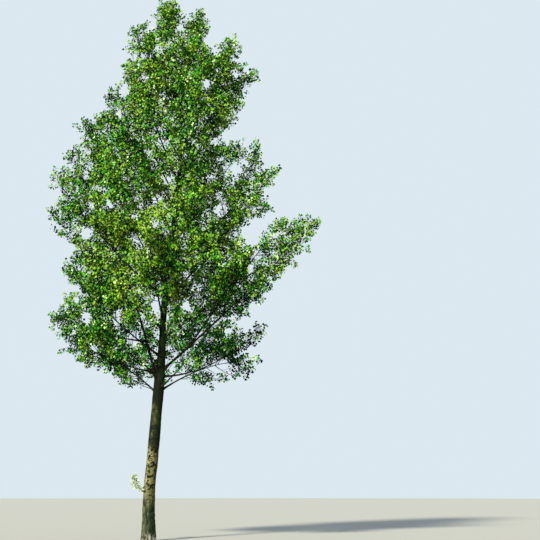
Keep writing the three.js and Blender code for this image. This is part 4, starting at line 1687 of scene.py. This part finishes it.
@dataclass(frozen=True)
class SkyGaps:
    """Openings right through the crown, in line with the eye, each by its x, height and radius.

    seen_limbs names the limbs that no foliage hides, each up to a share of its length and by a radius, and
    seen_trunk has the half width that is kept free at some heights.
    """

    eye: tuple[float, float, float] = (3690.0, -31400.0, 1600.0)
    ragged: tuple[float, float] = (0.35, 1.35)
    ragged_pattern: Pattern = Pattern((110.0, 110.0, 110.0), 57)
    gaps: tuple[tuple[float, float, float], ...] = (
        (2160, 5320, 350), (40, 7250, 190), (-2190, 6880, 230), (-2380, 11640, 210),
        (-2180, 10610, 150), (-340, 12430, 150), (-115, 16130, 150), (1070, 7170, 180),
        (-600, 6260, 210), (2010, 11020, 130), (-570, 15060, 190), (1885, 12810, 170),
        (1585, 14800, 190), (3000, 9620, 230), (1900, 6670, 180), (-160, 4840, 190),
        (-1525, 10590, 190), (-1880, 5910, 180), (3100, 8470, 160), (470, 5360, 180), (2300, 6440, 110),
        (-1200, 6980, 180), (-1980, 11220, 100), (1000, 5280, 170), (-550, 15820, 160),
        (120, 12730, 170), (760, 5750, 110), (1450, 6300, 180), (-2830, 9200, 280), (-2830, 7870, 260),
        (-2650, 13450, 170), (-280, 17050, 140), (-950, 15850, 190), (1560, 16400, 190),
        (3020, 14650, 190), (2380, 13080, 200), (2900, 15250, 110), (2750, 13080, 200),
        (2560, 11880, 200), (3560, 10950, 200), (-3300, 10950, 150), (5560, 10050, 200),
        (-1680, 5020, 240), (1080, 4650, 240), (1230, 5480, 170), (930, 17300, 120), (2460, 15180, 110),
        (2880, 12760, 160), (-3280, 11350, 150), (-3280, 9950, 170), (-2340, 9700, 170),
        (-2470, 7780, 170), (4650, 8830, 200), (4330, 8400, 200), (3990, 7950, 200), (3650, 7560, 200),
        (-2750, 12150, 130), (-2250, 7620, 130), (-3230, 7150, 150), (-2950, 6050, 170),
        (1620, 5520, 90), (2560, 6900, 150), (3180, 7280, 190), (3690, 11000, 150), (2600, 9550, 120),
        (780, 4700, 200), (5320, 10330, 140), (-1200, 14620, 200), (-2780, 5600, 170),
        (3330, 9550, 150), (1700, 16750, 110), (-2750, 6020, 110), (-1200, 5900, 120),
        (-2300, 12000, 110), (-3400, 6800, 120), (4150, 8150, 150), (-1350, 13900, 160),
        (2850, 14700, 170), (3750, 10200, 140), (4050, 10380, 150), (4450, 10400, 130),
        (-2450, 12450, 110), (-2700, 9650, 150), (-2100, 11150, 110), (1880, 15980, 150),
        (1930, 15320, 110), (2330, 11850, 190), (1780, 6230, 150), (-1300, 4880, 130),
        (-1130, 14450, 110), (-700, 10820, 140), (100, 10890, 165), (-740, 10240, 170),
        (-50, 9940, 165), (-700, 9510, 175), (325, 11400, 150), (-1120, 11500, 120), (-1590, 6870, 110),
        (-1180, 6670, 165), (3280, 9010, 170), (3940, 9640, 150), (3140, 10410, 110),
        (2240, 10500, 120),
    )
    seen_limbs: tuple[tuple[str, float, float], ...] = (
        ("left_upright", 0.3, 70.0), ("low_left", 0.5, 80.0), ("long_right", 0.42, 95.0),
        ("right_tuft", 0.36, 70.0), ("low_right", 0.5, 80.0), ("left_skirt", 0.4, 60.0),
    )
    seen_trunk: tuple[tuple[float, float], ...] = ((4300, 190), (5600, 120), (6600, 80), (7300, 30))
    trunk_spots: int = 40
    limb_spots: int = 30
    limbs_begin: float = 0.02

    def before_wood(self, points: np.ndarray, trunk: Trunk, limbs: list[Limb]) -> np.ndarray:
        """Which points lie in front of the stretches of trunk and limbs that the eye sees.

        Such a point is nearer to the eye than a spot on the wood and close to the line of sight to it.

        Args:
            points: places.
            trunk: the trunk.
            limbs: the limbs.

        Returns:
            Whether each point is in front.
        """
        heights, widths = np.array(self.seen_trunk, dtype=float).T
        height = np.linspace(heights[0], heights[-1], self.trunk_spots)
        spots, radii = [trunk.centre(height)], [np.interp(height, heights, widths)]
        by_name = {limb.name: limb for limb in limbs}
        for name, until, radius in self.seen_limbs:
            spots.append(by_name[name].points(np.linspace(self.limbs_begin, until, self.limb_spots)))
            radii.append(np.full(self.limb_spots, radius))
        eye = np.array(self.eye)
        hidden = np.zeros(len(points), dtype=bool)
        offset = points - eye
        for spot, radius in zip(np.concatenate(spots), np.concatenate(radii)):
            line = unit(spot - eye)
            along = offset @ line
            aside = np.linalg.norm(offset - along[:, None] * line, axis=1)
            hidden |= (aside < radius) & (along < np.linalg.norm(spot - eye))
        return hidden

    def clear_of(self, points: np.ndarray) -> np.ndarray:
        """Which points lie clear of every opening: further than its radius from its line of sight.

        Args:
            points: places.

        Returns:
            Whether each is clear.
        """
        eye = np.array(self.eye)
        clear = np.ones(len(points), dtype=bool)
        ragged = mix(*self.ragged, self.ragged_pattern.at(points))
        for across, height, radius in self.gaps:
            line = unit(np.array([across, 0.0, height]) - eye)
            offset = points - eye
            aside = offset - (offset @ line)[:, None] * line
            clear &= np.linalg.norm(aside, axis=1) > radius * ragged
        return clear


# A leaf's corners in its own length, along its heading, across it and towards its facing: the base, two
# shoulders, the drawn-out tip, and the same shoulders on the other side.
LEAF_CORNERS = np.array(
    [[0.0, 0.0, 0.0], [0.16, 0.4, 0.07], [0.56, 0.42, 0.09], [1.02, 0.0, -0.05], [0.56, -0.42, 0.09],
     [0.16, -0.4, 0.07]]
)
# The blade's triangles and the stalk's.
LEAF_TRIANGLES = np.array([[0, 2, 1], [0, 3, 2], [0, 4, 3], [0, 5, 4], [0, 6, 7]])
HALF_STALK = 1.6


@dataclass
class Leaves:
    """Leaves: where each stalk leaves the twig, the blade's base, heading and facing, and its length."""

    root: np.ndarray
    base: np.ndarray
    heading: np.ndarray
    facing: np.ndarray
    length: np.ndarray
    spray: np.ndarray

    def kept(self, keep: np.ndarray) -> "Leaves":
        """The leaves that a mask picks."""
        return Leaves(*(getattr(self, key)[keep] for key in vars(self)))

    def surface(self) -> Surface:
        """The leaves as kites of four triangles, folded a little along the midrib, and stalks of one.

        A blade's corners are base + length (u heading + v across + w facing).

        Returns:
            All of them in one.
        """
        across = np.cross(self.facing, self.heading)
        axes = np.stack([self.heading, across, self.facing], axis=1)
        corners = np.einsum("kj,njc->nkc", LEAF_CORNERS, axes) * self.length[:, None, None]
        stalk = self.root[:, None] + across[:, None] * np.array([[HALF_STALK], [-HALF_STALK]])
        vertices = np.concatenate([self.base[:, None] + corners, stalk], axis=1)
        starts = np.arange(len(self.base)) * vertices.shape[1]
        return Surface(vertices.reshape(-1, 3), (starts[:, None, None] + LEAF_TRIANGLES).reshape(-1, 3))


@dataclass(frozen=True)
class Tinting:
    """How the leaves' tints are dealt out by spray.

    Sprays are ranked by their place in the crown and by a slow noise, with some chance in it, and dealt
    tints in the given shares from the deepest green up. Outlying ones and low ones, most on the right,
    are deeper as painted shade, and those at the top and about the crown's heart are paler as painted
    light. A few sprays show their undersides, and some leaves of each spray are given the deepest green
    as painted shade.
    """

    shares: tuple[float, ...] = (0.12, 0.25, 0.36, 0.27)
    underside_share: float = 0.05
    # Share of each spray's leaves that get the deepest green as painted shade.
    dark_leaves: float = 0.26
    centre: tuple[float, float, float] = (250.0, 0.0, 10000.0)
    light_span: float = 4000.0
    depth_span: float = 3500.0
    side_span: float = 2500.0
    patch: Pattern = Pattern((750.0, 750.0, 750.0), 31)
    patch_weight: float = 1.2
    chance_weight: float = 0.5
    # Deeper tints, as painted shade, for sprays further out and further towards the light.
    light_weight: float = 0.3
    depth_weight: float = 0.25
    # Painted shade on low sprays, most on the right, and painted light on high ones and about the heart.
    deep_below: tuple[float, float] = (5500.0, 8400.0)
    deep_weights: tuple[float, float] = (0.7, 0.45)
    pale_above: tuple[float, float] = (13000.0, 16500.0)
    pale_weight: float = 0.4
    heart: tuple[float, float] = (-300.0, 9300.0)
    heart_size: tuple[float, float] = (1300.0, 1900.0)
    heart_weight: float = 0.8

    def heart_share(self, tips: np.ndarray) -> np.ndarray:
        """e to the power of minus the squared distance to the heart, each way in its own unit.

        Args:
            tips: the sprays' tips.

        Returns:
            A share from 0 to 1 for each.
        """
        across = (tips[:, 0] - self.heart[0]) / self.heart_size[0]
        up = (tips[:, 2] - self.heart[1]) / self.heart_size[1]
        return np.exp(-(across**2) - up**2)

    def sprays(self, tips: np.ndarray, light: np.ndarray, chance: np.random.Generator) -> np.ndarray:
        """A tint number for each spray, by its tip, the light's direction and the run of chance.

        Args:
            tips: the sprays' tips.
            light: direction towards the light.
            chance: the seeded run of random numbers.

        Returns:
            Numbers in the order of the tints.
        """
        outer = tips - np.array(self.centre)
        towards = outer @ light / self.light_span
        depth = np.linalg.norm(outer[:, :2], axis=1) / self.depth_span
        low = 1.0 - ease(*self.deep_below, tips[:, 2])
        high = ease(*self.pale_above, tips[:, 2])
        side = np.clip(tips[:, 0] / self.side_span, -1.0, 1.0)
        rank = self.patch_weight * (self.patch.at(tips) - 0.5)
        rank = rank + chance.normal(0.0, self.chance_weight, len(tips))
        rank = rank - self.light_weight * towards - self.depth_weight * depth
        deep = (self.deep_weights[0] + self.deep_weights[1] * side) * low
        rank += self.heart_weight * self.heart_share(tips) + self.pale_weight * high - deep
        place = np.argsort(np.argsort(rank)) / len(tips)
        limits = np.cumsum(np.array(self.shares) / sum(self.shares))[:-1]
        picked = np.searchsorted(limits, place, side="right")
        turned = chance.uniform(size=len(tips)) < self.underside_share
        return np.where(turned, len(self.shares), picked)

    def leaves(
        self, tips: np.ndarray, spray: np.ndarray, light: np.ndarray, chance: np.random.Generator
    ) -> np.ndarray:
        """A tint number for each leaf.

        Args:
            tips: the sprays' tips.
            spray: the number of the spray that each leaf is on.
            light: direction towards the light.
            chance: the seeded run of random numbers.

        Returns:
            Numbers in the order of the tints.
        """
        tints = self.sprays(tips, light, chance)[spray]
        return np.where(chance.uniform(size=len(tints)) < self.dark_leaves, 0, tints)


@dataclass(frozen=True)
class TwigForm:
    """How twigs are meshed: a ring's corners, the rings below the tip, and the first and last radius."""

    sides: int
    rings: int
    thick: float
    thin: float

    def surface(self, lines: Lines) -> Surface:
        """Lines as thin tapering tubes, all in one surface.

        Args:
            lines: the twigs' lines.

        Returns:
            The tubes.
        """
        share = np.linspace(0.0, 1.0, self.rings + 1)
        radii = mix(self.thick, self.thin, np.linspace(0.0, 1.0, self.rings))
        count = len(lines)
        centres = lines.points(np.broadcast_to(share, (count, self.rings + 1)))
        return tubes(centres, np.broadcast_to(radii, (count, self.rings)), self.sides)


def part_number(height: Any) -> Any:
    """The number of the part of the crown that each height lies in."""
    return np.searchsorted(np.array([part.value for part in Part]), height)


@dataclass(frozen=True)
class Crown:
    """The limbs with their bark, and the foliage on them."""

    highest_bough: float = 8400.0
    top_breadth: float = 640.0
    top_tip: tuple[float, float, float] = (230.0, 10.0, 17900.0)
    light: tuple[float, float, float] = (-0.42, -0.72, 0.52)
    proud: float = 45.0
    branch_form: TwigForm = TwigForm(5, 6, 13.0, 4.0)
    shoot_form: TwigForm = TwigForm(3, 3, 5.0, 2.6)
    spur_form: TwigForm = TwigForm(3, 1, 3.0, 2.0)
    foliage: Foliage = Foliage()
    tinting: Tinting = Tinting()
    boughs: Boughs = Boughs()
    branches: Branches = Branches()
    body: Body = Body()
    sky: SkyGaps = SkyGaps()

    def limbs(self, trunk: Trunk) -> list[Limb]:
        """All the limbs, with the one that goes on from the top of the trunk last.

        Args:
            trunk: the trunk.

        Returns:
            The limbs.
        """
        grown: dict[str, Limb] = {}
        for plan in [*OUTLINE_PLANS, *SidePlans().plans()]:
            grown[plan.name] = Limb.grown(plan, grown, trunk, self.highest_bough)
        root = trunk.centre(trunk.top)
        tip = np.array(self.top_tip) - UP * Limb.blunt * self.top_breadth
        top = Limb("crown_top", root, (root + tip) / 2, tip, 0.0, self.top_breadth, crown=True)
        return [*grown.values(), top]

    def open_to(self, lines: Lines, trunk: Trunk, limbs: list[Limb]) -> np.ndarray:
        """Which lines have their tip in no opening and not before the wood that is seen."""
        return self.sky.clear_of(lines.tip) & ~self.sky.before_wood(lines.tip, trunk, limbs)

    def within_reach(self, lines: Lines, tree_box: list[list[float]]) -> np.ndarray:
        """Which lines have their tip in the solids' box, grown by what a twig's tip may stand proud."""
        low, high = np.array(tree_box) / METRES
        return np.all((lines.tip >= low - self.proud) & (lines.tip <= high + self.proud), axis=1)

    def build(self, trunk: Trunk, tree_box: list[list[float]]) -> None:
        """Makes the limbs, twigs and leaves, within the solids' box.

        Args:
            trunk: the trunk.
            tree_box: the solids' two corners in metres.
        """
        limbs = self.limbs(trunk)
        self.boughs.build(limbs, trunk, sorted(name for name in frame["nodes"] if name.endswith("_bough")))
        chance = np.random.default_rng(self.foliage.seed)
        grow = self.foliage
        branches = self.branches.grown(trunk, limbs, self.body, chance)
        branches = branches.kept(self.open_to(branches, trunk, limbs))
        shoots = Lines.joined(
            [*(grow.limb_shoots(limb, chance) for limb in limbs), grow.branch_shoots(branches, chance)]
        )
        shoots = shoots.kept(self.open_to(shoots, trunk, limbs) & self.within_reach(shoots, tree_box))
        spurs = grow.spurs(shoots, chance)
        bearing = Lines.joined(
            [spurs, grow.ends(shoots, grow.shoot_end), grow.ends(branches, grow.branch_end)]
        )
        bearing = bearing.kept(self.open_to(bearing, trunk, limbs) & self.within_reach(bearing, tree_box))
        light = unit(np.array(self.light))
        leaves = grow.leaves(bearing, light, chance)
        tints = self.tinting.leaves(bearing.tip, leaves.spray, light, chance)
        LOG.info(
            "%d branches, %d shoots, %d spurs, %d leaves", *map(len, (branches, shoots, spurs, leaves.root))
        )
        wood = ((branches, self.branch_form), (shoots, self.shoot_form), (spurs, self.spur_form))
        twig_skin = TWIG_SKIN.material()
        leaf_skins = [tint.value.material() for tint in Leaf]
        for number, part in enumerate(Part):
            name = part.name.lower()
            masses = [f"{limb.name}_foliage" for limb in limbs if part_number(limb.tip[2]) == number]
            own_wood = [
                form.surface(lines.kept(part_number(lines.root[:, 2]) == number)) for lines, form in wood
            ]
            twigs = Surface.joined(own_wood).mesh_object(f"twigs_{name}", twig_skin, smooth=True)
            fix_in_frame(twigs, Slot.FOLIAGE, masses)
            own = part_number(leaves.root[:, 2]) == number
            for order, (tint, skin) in enumerate(zip(Leaf, leaf_skins)):
                blades = leaves.kept(own & (tints == order)).surface()
                piece = blades.mesh_object(f"leaves_{name}_{tint.name.lower()}", skin, smooth=False)
                fix_in_frame(piece, Slot.FOLIAGE, masses)


# The shoot on the bare trunk


@dataclass(frozen=True)
class TrunkShoot:
    """A thin bent shoot on the left of the bare trunk, with pale leaves up its outer stretch."""

    height: float = 1400.0
    tip: tuple[float, float, float] = (-490.0, -60.0, 1960.0)
    rise: float = 140.0
    stem_form: TwigForm = TwigForm(8, 14, 7.0, 3.5)
    side_shoots: int = 28
    side_zone: tuple[float, float] = (0.16, 0.94)
    side_tilt: float = 55.0
    side_lift: float = 0.2
    side_lengths: tuple[float, float] = (80.0, 180.0)
    side_form: TwigForm = TwigForm(5, 3, 2.6, 1.6)
    stem_end: float = 0.7
    light: tuple[float, float, float] = (-0.3, -0.8, 0.5)
    foliage: Foliage = Foliage(leaf_step=24.0, leaf_length=(44.0, 66.0), stalk=(14.0, 26.0))
    seed: int = 77

    def build(self, trunk: Trunk) -> None:
        """Makes the shoot's wood and its leaves.

        Args:
            trunk: the trunk.
        """
        chance = np.random.default_rng(self.seed)
        root = trunk.centre(self.height)
        tip = np.array(self.tip)
        middle = np.array([tip[0], tip[1], root[2] + self.rise])
        stem = Lines(root[None], middle[None], tip[None])
        share = np.linspace(*self.side_zone, self.side_shoots)
        parents = stem.kept(np.zeros(self.side_shoots, dtype=int))
        turn = np.arange(self.side_shoots) * GOLDEN_ANGLE
        tilt = np.radians(np.full(self.side_shoots, self.side_tilt))
        direction, _ = sprouting(parents.tangents(share), turn, tilt, self.side_lift)
        length = chance.uniform(*self.side_lengths, self.side_shoots)
        twigs = bent(parents.points(share), direction, length, chance)
        bearing = Lines.joined([twigs, self.foliage.ends(stem, self.stem_end)])
        leaves = self.foliage.leaves(bearing, unit(np.array(self.light)), chance)
        wood = Surface.joined([self.stem_form.surface(stem), self.side_form.surface(twigs)])
        for name, surface, skin, smooth in (
            ("trunk_shoot_stem", wood, TWIG_SKIN, True),
            ("trunk_shoot_leaves", leaves.surface(), SHOOT_LEAF, False),
        ):
            piece = surface.mesh_object(name, skin.material(), smooth)
            fix_in_frame(piece, Slot.SHOOT, ["trunk_shoot"])


# Studio


@dataclass(frozen=True)
class Studio:
    """A pale floor and background, a soft warm key light from the left front, and the camera."""

    floor_radius: float = 120.0
    floor_sides: int = 64
    floor_drop: float = 0.002
    # Painted board, which looks matt and pale grey.
    floor: PlainFinish = PlainFinish("matt_pale_floor", 0x8A8D8E, 0.9, 0.2)
    sky_colour: int = 0xCCD8DF
    sky_strength: float = 1.18
    sun_strength: float = 10.5
    sun_softness: float = 8.0
    sun_colour: int = 0xFFF3D6
    # The picture is 540 wide at a distance of 1000, and the eye looks up by 217 there.
    eye: tuple[float, float, float] = (3.69, -31.4, 1.6)
    pitch: float = math.degrees(math.atan2(217.0, 1000.0))
    sensor: float = 36.0
    focal_length: float = 36.0 * 1000.0 / 540.0
    farthest: float = 500.0

    def build(self) -> None:
        """Makes the floor, the lights and the camera."""
        scene = bpy.context.scene
        edge = np.arange(self.floor_sides)
        turn = edge * (2 * math.pi / self.floor_sides)
        rim = np.stack([np.cos(turn), np.sin(turn), 0.0 * turn], axis=-1) * self.floor_radius / METRES
        drop = np.array([0.0, 0.0, -self.floor_drop / METRES])
        vertices = np.concatenate([rim, np.zeros((1, 3))]) + drop
        middle = np.full(self.floor_sides, self.floor_sides)
        triangles = np.stack([edge, (edge + 1) % self.floor_sides, middle], axis=-1)
        floor = Surface(vertices, triangles).mesh_object("studio_floor", self.floor.material(), smooth=False)
        floor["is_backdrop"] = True

        world = bpy.data.worlds.new("studio_sky")
        world.use_nodes = True
        background = world.node_tree.nodes["Background"]
        background.inputs["Color"].default_value = linear(self.sky_colour)
        background.inputs["Strength"].default_value = self.sky_strength
        scene.world = world

        lamp = bpy.data.lights.new("key_light", "SUN")
        lamp.energy = self.sun_strength
        lamp.angle = math.radians(self.sun_softness)
        lamp.color = linear(self.sun_colour)[:3]
        key = bpy.data.objects.new("key_light", lamp)
        key.rotation_euler = Vector(Crown.light).to_track_quat("Z", "Y").to_euler()
        scene.collection.objects.link(key)

        lens = bpy.data.cameras.new("camera")
        lens.lens = self.focal_length
        lens.sensor_width = self.sensor
        lens.clip_end = self.farthest
        camera = bpy.data.objects.new("camera", lens)
        camera.location = self.eye
        camera.rotation_euler = (math.radians(90.0 + self.pitch), 0.0, 0.0)
        scene.collection.objects.link(camera)
        scene.camera = camera
        scene.view_settings.view_transform = "Standard"


def corners_of(box: Any) -> list[list[float]]:
    """A box's two corners as plain lists."""
    return [[float(number) for number in corner] for corner in box]


def main() -> None:
    """Builds the tree and its studio."""
    logging.basicConfig(level=logging.INFO, format="%(name)s: %(message)s")
    cad_box = corners_of(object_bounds())
    Studio().build()
    trunk = Trunk()
    trunk.build()
    Crown().build(trunk, cad_box)
    TrunkShoot().build(trunk)


if __name__ == "__main__":
    main()
